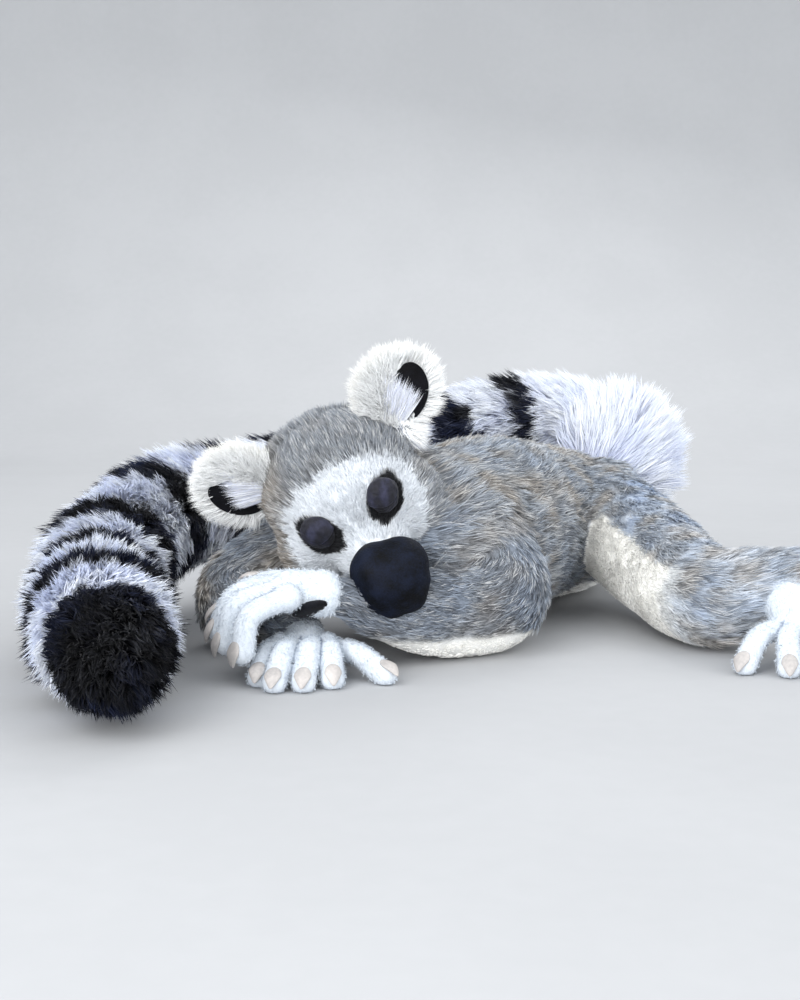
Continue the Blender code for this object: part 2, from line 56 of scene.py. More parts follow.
# Head frame: where the face looks, where the crown points, and its centre among the body's
# lines. Lids: place, half sizes and turn, then the crease: its height, arch, lap and width,
# and how rough the suede is.
HEAD_FORWARD = (0.269, -0.851, -0.451)
HEAD_UP = (-0.425, -0.525, 0.738)
HEAD_CENTRE = (-0.036, -0.052, 0.106)
LID_PLACE = (0.0235, 0.0485, 0.0185)
LID_HALF = (0.0112, 0.0080, 0.0126)
LID_TURN = math.radians(24.0)
LID_FOLD = 0.0038
LID_ARCH = 0.35
LID_LAP = 0.0009
LID_CREASE = 0.0006
LID_ROUGH = 0.00020

# Head shapes: middle and half sizes to the tips of the pile, and the depth of pile on each.
HEAD_SHAPES = (
    ((0.0, -0.004, 0.006), (0.057, 0.052, 0.053), 0.0065),
    ((0.029, 0.014, -0.015), (0.032, 0.036, 0.031), 0.0050),
    ((-0.029, 0.014, -0.015), (0.032, 0.036, 0.031), 0.0050),
    ((0.0, 0.029, 0.004), (0.042, 0.030, 0.037), 0.0035),
    ((0.0, 0.047, -0.012), (0.027, 0.030, 0.026), 0.0030),
)

# Muzzle cap: middle in the head frame, half sizes, roll, draw toward the chin, squareness
# and how rough the suede is.
MUZZLE_PLACE = (0.002, 0.081, -0.016)
MUZZLE_HALF = (0.0248, 0.0240, 0.0248)
MUZZLE_ROLL = np.array(Matrix.Rotation(math.radians(22.0), 3, "Y"))
MUZZLE_CHIN = 0.30
MUZZLE_SQUARE = 3.4
MUZZLE_ROUGH = 0.0004

# Ears: side, sign, place and lean of each. Then what they share: half sizes to the tips of
# the pile and its depth; how far the tip leans back and the bowl turns out; the bowl's half
# sizes, shift and depth; and the root's half sizes.
EARS = (
    ("left", 1, (0.0635, -0.019, 0.036), math.radians(58.0)),
    ("right", -1, (-0.057, -0.017, 0.0355), math.radians(38.0)),
)
EAR_HALF = (0.0365, 0.0330, 0.0145)
EAR_PILE = (0.0100, 0.0095, 0.0050)
EAR_BACKWARD = -0.25
EAR_OUTWARD = 0.42
EAR_BOWL = (0.0168, 0.0208)
EAR_BOWL_SIDE = 0.0048
EAR_DISH = 0.0085
EAR_ROOT = (0.014, 0.013)

# Ear linings: corners round a ring; the first and last rings' shares of the bowl and how many
# there are; and the rise off the skin.
LINING_SIDES = 48
LINING_SHARES = (0.04, 0.985, 14)
LINING_RISE = 0.0012

# Fans: hairs in each, the share that hang down, the shortest length with what is added to it,
# the width, and the corners along a hair.
FAN_HAIRS = 2600
FAN_DOWN = 0.36
FAN_LENGTH = (0.010, 0.020)
FAN_WIDTH = 0.0006
FAN_STEPS = 4

# Body lines: place and radius to the tips of the pile.
TRUNK = (
    ((0.020, -0.012, 0.065), 0.069),
    ((0.062, 0.066, 0.069), 0.073),
    ((0.102, 0.146, 0.064), 0.068),
    ((0.138, 0.202, 0.058), 0.064),
    ((0.158, 0.236, 0.060), 0.052),
)
NECK = (((-0.030, -0.030, 0.098), 0.050), ((0.026, 0.010, 0.080), 0.056))
ARM_LEFT = (
    ((0.046, -0.004, 0.080), 0.043),
    ((0.062, -0.048, 0.037), 0.041),
    ((0.014, -0.084, 0.031), 0.032),
    ((-0.034, -0.119, 0.048), 0.0175),
)
ARM_RIGHT = (
    ((-0.048, 0.012, 0.070), 0.042),
    ((-0.104, -0.032, 0.035), 0.038),
    ((-0.086, -0.068, 0.028), 0.030),
    ((-0.062, -0.098, 0.024), 0.017),
)
LEG_LEFT = (
    ((0.160, 0.165, 0.072), 0.047),
    ((0.184, 0.060, 0.050), 0.045),
    ((0.204, -0.030, 0.035), 0.039),
    ((0.234, -0.050, 0.042), 0.031),
    ((0.254, -0.060, 0.048), 0.027),
)
LEG_RIGHT = (
    ((0.118, 0.228, 0.064), 0.046),
    ((0.060, 0.272, 0.041), 0.043),
    ((0.036, 0.300, 0.034), 0.037),
    ((0.076, 0.326, 0.028), 0.030),
    ((0.100, 0.330, 0.030), 0.026),
)
TAIL_ROOT = (((0.164, 0.212, 0.084), 0.046), ((0.192, 0.256, 0.115), 0.054))
TAIL = (
    ((0.184, 0.268, 0.122), 0.051),
    ((0.146, 0.290, 0.134), 0.050),
    ((0.092, 0.280, 0.134), 0.049),
    ((0.022, 0.246, 0.118), 0.049),
    ((-0.052, 0.198, 0.098), 0.048),
    ((-0.122, 0.136, 0.086), 0.048),
    ((-0.172, 0.062, 0.082), 0.048),
    ((-0.196, -0.020, 0.062), 0.048),
    ((-0.190, -0.104, 0.045), 0.048),
    ((-0.172, -0.184, 0.044), 0.047),
    ((-0.156, -0.240, 0.042), 0.045),
    ((-0.150, -0.264, 0.040), 0.029),
)

# Hands and feet: heel, each digit from root to tip with the thumb last, the way the pad faces
# and the pad's name.
HANDS = {
    "hand_left": (
        (((-0.048, -0.124, 0.0510), 0.0140), ((-0.066, -0.129, 0.0535), 0.0130)),
        (
            ((-0.070, -0.114, 0.0540), (-0.095, -0.113, 0.0520), (-0.1110, -0.116, 0.036)),
            ((-0.073, -0.124, 0.0560), (-0.100, -0.126, 0.0500), (-0.1105, -0.130, 0.029)),
            ((-0.072, -0.135, 0.0550), (-0.098, -0.140, 0.0465), (-0.1050, -0.144, 0.024)),
            ((-0.067, -0.144, 0.0520), (-0.089, -0.152, 0.0420), (-0.0940, -0.157, 0.021)),
            ((-0.060, -0.115, 0.0530), (-0.075, -0.104, 0.0560), (-0.0920, -0.101, 0.053)),
        ),
        (0.25, -0.35, -1.0),
        "palm_left",
    ),
    "hand_right": (
        (((-0.060, -0.106, 0.0180), 0.0135), ((-0.058, -0.122, 0.0165), 0.0120)),
        (
            ((-0.074, -0.122, 0.0175), (-0.081, -0.138, 0.0160), (-0.0840, -0.155, 0.0058)),
            ((-0.065, -0.126, 0.0190), (-0.070, -0.147, 0.0190), (-0.0735, -0.170, 0.0058)),
            ((-0.054, -0.127, 0.0190), (-0.055, -0.147, 0.0195), (-0.0565, -0.169, 0.0058)),
            ((-0.045, -0.124, 0.0180), (-0.042, -0.142, 0.0175), (-0.0400, -0.160, 0.0058)),
            ((-0.045, -0.117, 0.0150), (-0.027, -0.131, 0.0150), (-0.0090, -0.149, 0.0060)),
        ),
        (0.0, 0.0, -1.0),
        "palm_right",
    ),
    "foot_left": (
        (((0.254, -0.068, 0.0400), 0.0190), ((0.256, -0.088, 0.0260), 0.0150)),
        (
            ((0.243, -0.090, 0.0230), (0.226, -0.106, 0.0200), (0.2140, -0.121, 0.0057)),
            ((0.250, -0.096, 0.0220), (0.243, -0.112, 0.0200), (0.2390, -0.130, 0.0057)),
            ((0.260, -0.098, 0.0220), (0.262, -0.114, 0.0200), (0.2620, -0.133, 0.0057)),
            ((0.269, -0.094, 0.0220), (0.279, -0.108, 0.0200), (0.2840, -0.125, 0.0057)),
            ((0.266, -0.080, 0.0240), (0.284, -0.084, 0.0210), (0.3000, -0.090, 0.0058)),
        ),
        (0.0, 0.3, -1.0),
        "sole_left",
    ),
    "foot_right": (
        (((0.096, 0.345, 0.0240), 0.0170), ((0.088, 0.364, 0.0190), 0.0140)),
        (
            ((0.100, 0.364, 0.0180), (0.110, 0.378, 0.0170), (0.1160, 0.396, 0.0057)),
            ((0.093, 0.370, 0.0180), (0.095, 0.386, 0.0175), (0.0960, 0.406, 0.0057)),
            ((0.084, 0.372, 0.0180), (0.078, 0.388, 0.0175), (0.0740, 0.405, 0.0057)),
            ((0.077, 0.368, 0.0180), (0.065, 0.380, 0.0170), (0.0540, 0.394, 0.0057)),
            ((0.076, 0.358, 0.0180), (0.062, 0.360, 0.0175), (0.0440, 0.362, 0.0058)),
        ),
        (0.0, 0.0, -1.0),
        "sole_right",
    ),
}

# Digits: radii at root and tip, what is added for the easing, and how much larger a knuckle
# is. Pads: half sizes and depth below the palm's line. Nails: half sizes, height above the
# digit's line, how far ahead of its end they sit, how pointed they are and how far they droop.
DIGIT_ROOT = 0.0066
DIGIT_TIP = 0.0071
DIGIT_GROWN = 0.0002
KNUCKLE = 1.25
PAD_HALF = (0.0150, 0.0120, 0.0042)
PAD_SINK = 0.0105
NAIL = (0.0052, 0.0080, 0.0017)
NAIL_LIFT = 0.0068
NAIL_AHEAD = 0.0022
NAIL_POINT = 0.50
NAIL_DROOP = 0.38

# Depth of pile on the body and tail, the least share of a radius left as skin, and the gap
# over the floor.
PILE_BODY = 0.0065
PILE_TAIL = 0.0180
SKIN_SHARE = 0.52
FLOOR_CLEAR = 0.0006

# Voxel size and rounds of easing for the skin and the hands, and the step between balls as a
# share of their radius.
SKIN_CELL = 0.0027
SKIN_EASE = 8
HAND_CELL = 0.0011
HAND_EASE = 3
SPHERE_STEP = 0.18

# Lie of the pile: where it fans out from on the face, how softly it passes from one part to
# the next, how far it drifts and over what size, and how upright a flow is left standing.
NOSE = (0.0, 0.075, -0.012)
FLOW_BLEND = 0.006
FLOW_DRIFT = 0.16
FLOW_DRIFT_SIZE = 0.055
FLOW_UPRIGHT = 0.7

# Tail rings: length of a white and a black ring together, the black share, how ragged the
# edges are, the black and white ends, how soft the edges are, how far from the tip the pile
# shortens, and the shares of the tail where one coat piece ends and the next begins.
RING = 0.078
RING_BLACK = 0.49
RING_RAGGED = 0.0045
TIP_BLACK = 0.034
ROOT_WHITE = 0.075
RING_EDGE = 0.05
TIP_FADE = 0.100
TAIL_SPLIT = (0.30, 0.64)

# Tufts: ranges of length, loft and width, by lock and by blade; how blades stray and twist;
# the corners along a blade; and its size on the unwrap.
LOCK_LENGTHS = (0.82, 1.08)
BLADE_LENGTHS = (0.80, 1.08)
LOCK_LOFTS = (0.75, 1.25)
BLADE_LOFTS = (0.88, 1.12)
BLADE_WIDTHS = (0.6, 1.3)
BLADE_STRAY = 0.6
BLADE_TWIST = 0.45
BLADE_STEPS = 3
TUFT_PATCH = 0.003

# Plush on the hands: blades on each, their length and width, and the gap round the nails.
HAND_BLADES = 7500
HAND_LENGTH = 0.0022
HAND_WIDTH = 0.0004
NAIL_CLEAR = 0.0008

# Studio: the floor's reach; where the wall begins, its curve and its top; the sky; and each
# lamp's name, place, size and power.
FLOOR_REACH = 12.0
WALL = (1.5, 1.2, 6.0)
SKY_COLOUR = (0.94, 0.97, 1.0, 1.0)
SKY_STRENGTH = 1.30
LAMPS = (
    ("key", (-1.1, -1.5, 1.9), 1.4, 18.0),
    ("fill", (1.7, -1.2, 1.1), 1.6, 9.0),
    ("low", (-0.55, -1.6, 0.26), 0.9, 19.0),
    ("rim", (0.4, 1.7, 1.7), 1.4, 19.0),
)

# Colours, as seen on a screen, and how much paler or darker some parts are.
GREY_DARK = (84, 86, 93)
GREY_MID = (175, 181, 189)
GREY_LIGHT = (246, 245, 243)
GREY_BLUE = (161, 174, 193)
BROWN = (186, 176, 163)
CREAM = (255, 254, 250)
FACE_WHITE = (222, 226, 231)
EAR_WHITE = (253, 254, 254)
# Lavender: painted shade in the depth of the tail's white pile, and a tint mixed at random into the
# ear fans.
LAVENDER = (230, 235, 253)
TAIL_WHITE = (246, 249, 255)
# The next is painted shade on the tail's white rings.
TAIL_PAINTED_SHADE = (196, 208, 244)
TAIL_BLACK = (8, 12, 24)
# A painted blue sheen on the tail's black rings.
TAIL_PAINTED_SHEEN = (32, 44, 80)
EYE_BLACK = (18, 19, 23)
LID_DARK = (25, 25, 34)
LID_LIGHT = (41, 42, 60)
HAND_WHITE = (216, 223, 231)
# Painted shade in the grooves between the digits.
HAND_GROOVE_SHADE = (92, 108, 134)
LEG_BLUE = 0.15
LEG_PALER = 1.34
# Painted shade on the near arm and shoulder: a bluer mix and a darker share.
ARM_SHADE_BLUE = 0.25
ARM_SHADE_DARKER = 0.86
CROWN_DARKER = 0.72


def linear(colour):
    """A screen colour in 0 to 255 as linear light."""
    c = np.asarray(colour, dtype=float) / 255.0
    return np.where(c <= 0.04045, c / 12.92, ((c + 0.055) / 1.055) ** 2.4)


def unit(v):
    """Vectors at length one, along the last axis."""
    v = np.asarray(v, dtype=float)
    return v / np.maximum(np.linalg.norm(v, axis=-1, keepdims=True), 1e-12)


def level(v, normals):
    """Row vectors without their share along these normals."""
    return v - (v * normals).sum(axis=1, keepdims=True) * normals


def smooth(low, high, x):
    """0 below low, 1 above high and a smooth step between them."""
    t = np.clip((np.asarray(x) - low) / (high - low), 0.0, 1.0)
    return t * t * (3.0 - 2.0 * t)


def mixed(a, b, share):
    """Colours a and b mixed, with one share for each point."""
    share = np.asarray(share)[..., None]
    return np.asarray(a) * (1.0 - share) + np.asarray(b) * share


def ripple(points, size, seed, waves=7):
    """Smooth noise from about -1 to 1 that changes over this size."""
    random = np.random.default_rng(SEED + seed)
    ways = unit(random.normal(size=(waves, 3))) * random.uniform(0.6, 1.6, (waves, 1))
    phases = random.uniform(0.0, 2.0 * math.pi, waves)
    return np.sin(points @ ways.T * (2.0 * math.pi / size) + phases).sum(axis=1) / math.sqrt(waves)


def head_turn():
    """Side, forward and up of the head as the columns of a matrix."""
    forward = unit(HEAD_FORWARD)
    up = unit(np.asarray(HEAD_UP) - np.dot(HEAD_UP, forward) * forward)
    return np.stack((np.cross(up, forward), forward, up), axis=1)


def middle(node):
    """The middle of a CAD node's box."""
    low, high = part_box(node)
    return (np.array(low) + np.array(high)) / 2.0


EAR_SKIN = np.array(EAR_HALF) - np.array(EAR_PILE)
TURN = head_turn()
LIDS_AT = (middle("eyelid_left") + middle("eyelid_right")) / 2.0
HEAD_AT = LIDS_AT - TURN @ np.array((0.0, LID_PLACE[1], LID_PLACE[2]))
OFFSET = HEAD_AT - np.array(HEAD_CENTRE)


def to_head(points):
    """Row frame points in the head frame."""
    return (points - HEAD_AT) @ TURN


def from_head(points):
    """Head frame points in the row frame."""
    return np.asarray(points) @ TURN.T + HEAD_AT


class Line:
    """A smooth line through a few places, with a radius along it."""

    def __init__(self, joints, pile=0.0):
        self.places = np.array([place for place, _ in joints]) + OFFSET
        outer = np.array([radius for _, radius in joints])
        self.radii = np.maximum(outer - pile, outer * SKIN_SHARE)
        self.slopes = np.gradient(self.places, axis=0)
        self.last = len(joints) - 1
        self.t = np.linspace(0.0, self.last, 24 * self.last + 1)
        self.points = self.at(self.t)
        self.ways = unit(np.gradient(self.points, axis=0))
        steps = np.linalg.norm(np.diff(self.points, axis=0), axis=1)
        self.lengths = np.concatenate(([0.0], np.cumsum(steps)))
        self.size = self.radius(self.t)

    def at(self, t):
        """Places on the line at t joints from its start."""
        t = np.atleast_1d(np.asarray(t, dtype=float))
        i = np.minimum(t.astype(int), self.last - 1)
        u = (t - i)[:, None]
        a, b = self.places[i], self.places[i + 1]
        p, q = self.slopes[i], self.slopes[i + 1]
        ends = (2 * u**3 - 3 * u**2 + 1) * a + (3 * u**2 - 2 * u**3) * b
        return ends + (u**3 - 2 * u**2 + u) * p + (u**3 - u**2) * q

    def radius(self, t):
        """Radii at t."""
        return np.interp(t, range(self.last + 1), self.radii)

    def near(self, points):
        """For each point: index of the nearest sample and height above its ball."""
        best = np.full(len(points), np.inf)
        index = np.zeros(len(points), dtype=int)
        for i in range(len(self.points)):
            height = np.linalg.norm(points - self.points[i], axis=1) - self.size[i]
            closer = height < best
            best[closer] = height[closer]
            index[closer] = i
        return index, best


def keep_nearer(best, height, kept, new):
    """Where height is under best, takes that height and the new rows."""
    closer = height < best
    best[closer] = height[closer]
    kept[closer] = new[closer]


def sphere(sides=28, rings=14):
    """Corners and faces of a ball of radius one."""
    bm = bmesh.new()
    bmesh.ops.create_uvsphere(bm, u_segments=sides, v_segments=rings, radius=1.0)
    corners = np.array([v.co[:] for v in bm.verts])
    faces = [[v.index for v in face.verts] for face in bm.faces]
    bm.free()
    return corners, faces


def mesh_from(name, corners, loops, starts):
    """A mesh from flat arrays: corners, the corner of each loop, and where each face starts."""
    mesh = bpy.data.meshes.new(name)
    mesh.vertices.add(len(corners))
    mesh.vertices.foreach_set("co", np.asarray(corners, dtype=np.float32).ravel())
    mesh.loops.add(len(loops))
    mesh.loops.foreach_set("vertex_index", np.asarray(loops, dtype=np.int32))
    mesh.polygons.add(len(starts))
    mesh.polygons.foreach_set("loop_start", np.asarray(starts, dtype=np.int32))
    mesh.update(calc_edges=True)
    mesh.polygons.foreach_set("use_smooth", np.ones(len(starts), dtype=bool))
    return mesh


def show(name, mesh):
    """An object for this mesh, in the scene."""
    made = bpy.data.objects.new(name, mesh)
    bpy.context.scene.collection.objects.link(made)
    return made


def mesh_of(name, shapes):
    """One object from a list of (corners, faces) shapes."""
    corners = np.concatenate([shape[0] for shape in shapes])
    loops, sizes, first = [], [], 0
    for points, faces in shapes:
        for face in faces:
            loops.extend(first + corner for corner in face)
            sizes.append(len(face))
        first += len(points)
    starts = np.concatenate(([0], np.cumsum(sizes)[:-1]))
    return show(name, mesh_from(name, corners, loops, starts))


def fused(name, shapes, cell, rounds):
    """The overlapping shapes as one closed eased skin."""
    obj = mesh_of(name, shapes)
    remesh = obj.modifiers.new("Fuse", "REMESH")
    remesh.mode = "VOXEL"
    remesh.voxel_size = cell
    ease = obj.modifiers.new("Ease", "SMOOTH")
    ease.factor = 0.5
    ease.iterations = rounds
    graph = bpy.context.evaluated_depsgraph_get()
    mesh = bpy.data.meshes.new_from_object(obj.evaluated_get(graph))
    bpy.data.objects.remove(obj)
    mesh.name = name
    points = corners_of(mesh)
    points[:, 2] = np.maximum(points[:, 2], FLOOR_CLEAR)
    mesh.vertices.foreach_set("co", points.astype(np.float32).ravel())
    mesh.polygons.foreach_set("use_smooth", np.ones(len(mesh.polygons), dtype=bool))
    mesh.update()
    return show(name, mesh)


def rows_of(items, key, kind=np.float32):
    """The three numbers that a mesh keeps under this key for each of its items."""
    flat = np.zeros(len(items) * 3, dtype=kind)
    items.foreach_get(key, flat)
    return flat.reshape(-1, 3)


def corners_of(mesh):
    """The places of a mesh's corners."""
    return rows_of(mesh.vertices, "co").astype(float)


def normals_of(mesh):
    """The normals of a mesh's corners."""
    return rows_of(mesh.vertices, "normal").astype(float)


def triangles_of(mesh):
    """The corners of each triangle of a mesh."""
    mesh.calc_loop_triangles()
    return rows_of(mesh.loop_triangles, "vertices", np.int32)


BALL = sphere()


def balls_along(line):
    """Balls close enough along a line to fuse into a smooth limb."""
    shapes = []
    at = 0.0
    while at < line.lengths[-1]:
        t = np.interp(at, line.lengths, line.t)
        shapes.append((BALL[0] * line.radius(t) + line.at(t)[0], BALL[1]))
        at += line.radius(t) * SPHERE_STEP
    shapes.append((BALL[0] * line.radius(line.last) + line.at(line.last)[0], BALL[1]))
    return shapes


def ear_turn(sign, lean):
    """An ear's axes in the row frame: across, out of the bowl, and to the tip."""
    tip = unit((sign * math.cos(lean), EAR_BACKWARD, math.sin(lean)))
    out = np.array((sign * EAR_OUTWARD, 1.0, 0.0))
    out = unit(out - np.dot(out, tip) * tip)
    return TURN @ np.stack((np.cross(out, tip), out, tip), axis=1)


def ear_shapes(sign, place, lean):
    """A cupped ear and its root, inside the pile."""
    turn = ear_turn(sign, lean)
    at = from_head(place)
    wide, tall, thick = EAR_SKIN
    fine = sphere(56, 40)
    cup = fine[0] * (wide, thick, tall)
    inside = ((cup[:, 0] - sign * EAR_BOWL_SIDE) / EAR_BOWL[0]) ** 2 + (cup[:, 2] / EAR_BOWL[1]) ** 2
    hollow = np.sqrt(np.clip(1.0 - inside, 0.0, 1.0)) * EAR_DISH
    cup[:, 1] -= np.where(cup[:, 1] > 0.0, hollow, 0.0)
    root = BALL[0] * (EAR_ROOT[0], thick, EAR_ROOT[1]) - (0.0, 0.0, tall)
    return [(cup @ turn.T + at, fine[1]), (root @ turn.T + at, BALL[1])]


def head_shapes():
    """Skull, cheeks, face and snout inside the pile."""
    shapes = []
    for place, half, pile in HEAD_SHAPES:
        corners = BALL[0] * (np.array(half) - pile) + place
        shapes.append((from_head(corners), BALL[1]))
    return shapes


LINES = {
    "neck": Line(NECK, PILE_BODY),
    "trunk": Line(TRUNK, PILE_BODY),
    "arm_left": Line(ARM_LEFT, PILE_BODY),
    "arm_right": Line(ARM_RIGHT, PILE_BODY),
    "leg_left": Line(LEG_LEFT, PILE_BODY),
    "leg_right": Line(LEG_RIGHT, PILE_BODY),
    "root": Line(TAIL_ROOT, PILE_TAIL),
    "tail": Line(TAIL, PILE_TAIL),
}
NAMES = list(LINES) + ["head", "ear_left", "ear_right"]


def skin_object():
    """The whole stuffed skin, from the face to the tip of the tail."""
    shapes = head_shapes()
    for line in LINES.values():
        shapes.extend(balls_along(line))
    for _, sign, place, lean in EARS:
        shapes.extend(ear_shapes(sign, place, lean))
    return fused("skin", shapes, SKIN_CELL, SKIN_EASE)


def head_height(points):
    """Rough height of points above the head's shapes."""
    local = to_head(points)
    best = np.full(len(points), np.inf)
    for place, half, pile in HEAD_SHAPES:
        size = np.array(half) - pile
        share = np.linalg.norm((local - place) / size, axis=1)
        best = np.minimum(best, (share - 1.0) * size.min())
    return best


def ear_local(points, sign, place, lean):
    """Points in an ear's own frame."""
    return (points - from_head(place)) @ ear_turn(sign, lean)


def bowl_share(local, sign):
    """How far points of an ear's frame are from the middle of its bowl: 1 at the rim."""
    return np.hypot((local[:, 0] - sign * EAR_BOWL_SIDE) / EAR_BOWL[0], local[:, 2] / EAR_BOWL[1])


def names_of(owner):
    """The name of each point's owner."""
    return np.array(NAMES)[owner]


def survey(points, normals):
    """What the coat needs at each point: owner, place along its line and the lie of the pile."""
    heights, flows, along = [], [], []
    for line in LINES.values():
        index, height = line.near(points)
        heights.append(height)
        flows.append(line.ways[index])
        along.append(line.lengths[index])
    heights.append(head_height(points))
    flows.append(unit(points - from_head(NOSE)))
    along.append(np.zeros(len(points)))
    for _, sign, place, lean in EARS:
        local = ear_local(points, sign, place, lean)
        size = EAR_SKIN[[0, 2, 1]]
        heights.append((np.linalg.norm(local / size, axis=1) - 1.0) * size[1] - 0.001)
        spread = local * (1.0, 0.0, 1.0) + (0.0, 0.0, 0.020)
        flows.append(unit(spread) @ ear_turn(sign, lean).T)
        along.append(local[:, 2])
    heights = np.array(heights)
    weights = np.exp(-(heights - heights.min(axis=0)) / FLOW_BLEND)
    flow = np.einsum("ln,lnk->nk", weights / weights.sum(axis=0), np.array(flows))
    drift = [ripple(points, FLOW_DRIFT_SIZE, 70 + axis) for axis in range(3)]
    flow += np.stack(drift, axis=1) * FLOW_DRIFT
    owner = heights.argmin(axis=0)
    along = np.array(along)[owner, range(len(points))]
    outward = (flow * normals).sum(axis=1, keepdims=True)
    laid = np.where(outward > FLOW_UPRIGHT, 0.0, outward) * (1.0 - near_tip(owner, along))[:, None]
    return owner, along, unit(flow - laid * normals)


def agouti(points):
    """Grey wool in brown and blue patches, a little darker and lighter by place."""
    drift = ripple(points, 0.070, 11)
    streak = ripple(points, 0.024, 14)
    warm = smooth(-0.3, 1.5, 0.6 * drift + 0.9 * streak) * 0.75
    cool = smooth(0.0, 1.5, -0.9 * drift - 0.6 * streak) * 0.62
    base = mixed(linear(GREY_MID), linear(BROWN), warm)
    base = mixed(base, linear(GREY_BLUE), cool)
    return base * (1.0 + 0.15 * ripple(points, 0.018, 12))[:, None]


def face_white(local):
    """How white the face is at points of the head frame, from 0 to 1."""
    side, ahead, rise = local.T
    wide = (side / 0.0460) ** 2 + ((rise - 0.0015) / 0.0385) ** 2
    return smooth(1.12, 0.92, wide + 0.05 * ripple(local, 0.010, 21)) * smooth(0.004, 0.014, ahead)


def eye_black(local):
    """How black the fur round the lids is, from 0 to 1."""
    black = np.zeros(len(local))
    for sign in (-1.0, 1.0):
        side = sign * local[:, 0] - LID_PLACE[0]
        rise = local[:, 2] - LID_PLACE[2]
        reach = np.hypot((side + 0.0012) / 0.0130, (rise + 0.0056) / 0.0122)
        black = np.maximum(black, smooth(1.06, 0.96, reach + 0.03 * ripple(local, 0.006, 22)))
    return black * (local[:, 1] > 0.02)


def ring_black(along, points):
    """How black the tail is at this place along it, from 0 to 1."""
    whole = LINES["tail"].lengths[-1]
    place = whole - along + RING_RAGGED * ripple(points, 0.020, 31)
    phase = np.mod(place - TIP_BLACK, RING) / RING
    start = 1.0 - RING_BLACK
    black = smooth(start - RING_EDGE, start + RING_EDGE, phase)
    black = black * smooth(1.0, 1.0 - RING_EDGE, phase)
    black = np.where(place < TIP_BLACK, 1.0, black)
    return np.where(along < ROOT_WHITE, 0.0, black)


def cream(points, normals, owner, along):
    """How cream the short plush under the belly and inside the near thigh is, from 0 to 1."""
    names = names_of(owner)
    low = smooth(0.022, 0.014, points[:, 2]) * smooth(-0.02, -0.16, normals[:, 2])
    low = low * np.isin(names, ("trunk", "neck", "arm_left"))
    inner = smooth(0.40, 0.47, normals @ unit((-0.90, -0.20, -0.40)))
    inner = inner * (names == "leg_left") * smooth(0.215, 0.195, along)
    return np.maximum(low, inner)


def markings(points, normals, owner, along):
    """The coat's colour at each point of the skin, with painted shade on the near arm and in patches
    on the tail's white rings, and a painted sheen on its black rings.
    """
    colour = agouti(points)
    names = names_of(owner)
    leg = np.char.startswith(names.astype(str), "leg")[:, None]
    silky = mixed(colour, linear(GREY_BLUE), np.full(len(colour), LEG_BLUE)) * LEG_PALER
    colour = np.where(leg, silky, colour)
    # Painted shade on the near arm and shoulder: bluer and darker.
    shoulder = (names == "arm_left")[:, None]
    painted_arm_shade = mixed(colour, linear(GREY_BLUE), np.full(len(colour), ARM_SHADE_BLUE)) * ARM_SHADE_DARKER
    colour = np.where(shoulder, painted_arm_shade, colour)
    colour = mixed(colour, linear(CREAM), cream(points, normals, owner, along))

    local = to_head(points)
    head = (names == "head")[:, None]
    temple = smooth(0.015, 0.050, -local[:, 0]) * 0.9
    drab = np.clip(temple + 0.15 * ripple(points, 0.03, 13), 0.0, 1.0)
    crown = mixed(linear(GREY_MID), linear(BROWN), drab) * CROWN_DARKER
    crown = mixed(crown, linear(FACE_WHITE), face_white(local))
    crown = mixed(crown, linear(EYE_BLACK), eye_black(local))
    colour = np.where(head, crown, colour)

    for side, sign, place, lean in EARS:
        mine = names == f"ear_{side}"
        shape = ear_local(points, sign, place, lean)
        white = mixed(linear(EAR_WHITE), linear(CREAM), smooth(0.004, -0.004, shape[:, 1]))
        inside = smooth(0.86, 0.82, bowl_share(shape, sign)) * (shape[:, 1] > 0.0)
        white = mixed(white, linear(EYE_BLACK), inside)
        colour = np.where(mine[:, None], white, colour)

    tail = (names == "tail") | (names == "root")
    # Painted shade in patches on the white rings, and a painted sheen in the same patches on the
    # black rings.
    shade = smooth(-0.4, 1.2, ripple(points, 0.030, 32))
    white = mixed(linear(TAIL_WHITE), linear(TAIL_PAINTED_SHADE), shade * 0.35)
    black = mixed(linear(TAIL_BLACK), linear(TAIL_PAINTED_SHEEN), shade * 0.7)
    dark = ring_black(along, points) * (names == "tail")
    banded = mixed(white, black, dark)
    return np.where(tail[:, None], banded, colour)


def paint(mesh, colours):
    """Stores a colour for each corner of the mesh."""
    layer = mesh.color_attributes.new("pile", "FLOAT_COLOR", "POINT")
    full = np.ones((len(colours), 4), dtype=np.float32)
    full[:, :3] = np.clip(colours, 0.0, 1.0)
    layer.data.foreach_set("color", full.ravel())


def map_uv(mesh, uv):
    """Stores a place on the unwrap for each loop of the mesh."""
    layer = mesh.uv_layers.new(name="OFBake")
    layer.data.foreach_set("uv", np.asarray(uv, dtype=np.float32).ravel())


class Skin:
    """The skin's surface as arrays to plant tufts on."""

    def __init__(self, obj):
        self.mesh = obj.data
        self.corners = corners_of(self.mesh)
        self.normals = normals_of(self.mesh)
        self.triangles = triangles_of(self.mesh)
        a, b, c = (self.corners[self.triangles[:, i]] for i in range(3))
        self.area = np.linalg.norm(np.cross(b - a, c - a), axis=1) / 2.0
        self.middles = (a + b + c) / 3.0
        self.facing = unit(np.cross(b - a, c - a))

    def scattered(self, chosen, count, random):
        """Random places and normals, even over the chosen triangles."""
        pool = np.flatnonzero(chosen)
        odds = self.area[pool] / self.area[pool].sum()
        picks = self.triangles[random.choice(pool, size=count, p=odds)]
        r = np.sqrt(random.random(count))
        s = random.random(count)
        shares = np.stack((1.0 - r, r * (1.0 - s), r * s), axis=1)[:, :, None]
        places = (self.corners[picks] * shares).sum(axis=1)
        return places, unit((self.normals[picks] * shares).sum(axis=1))


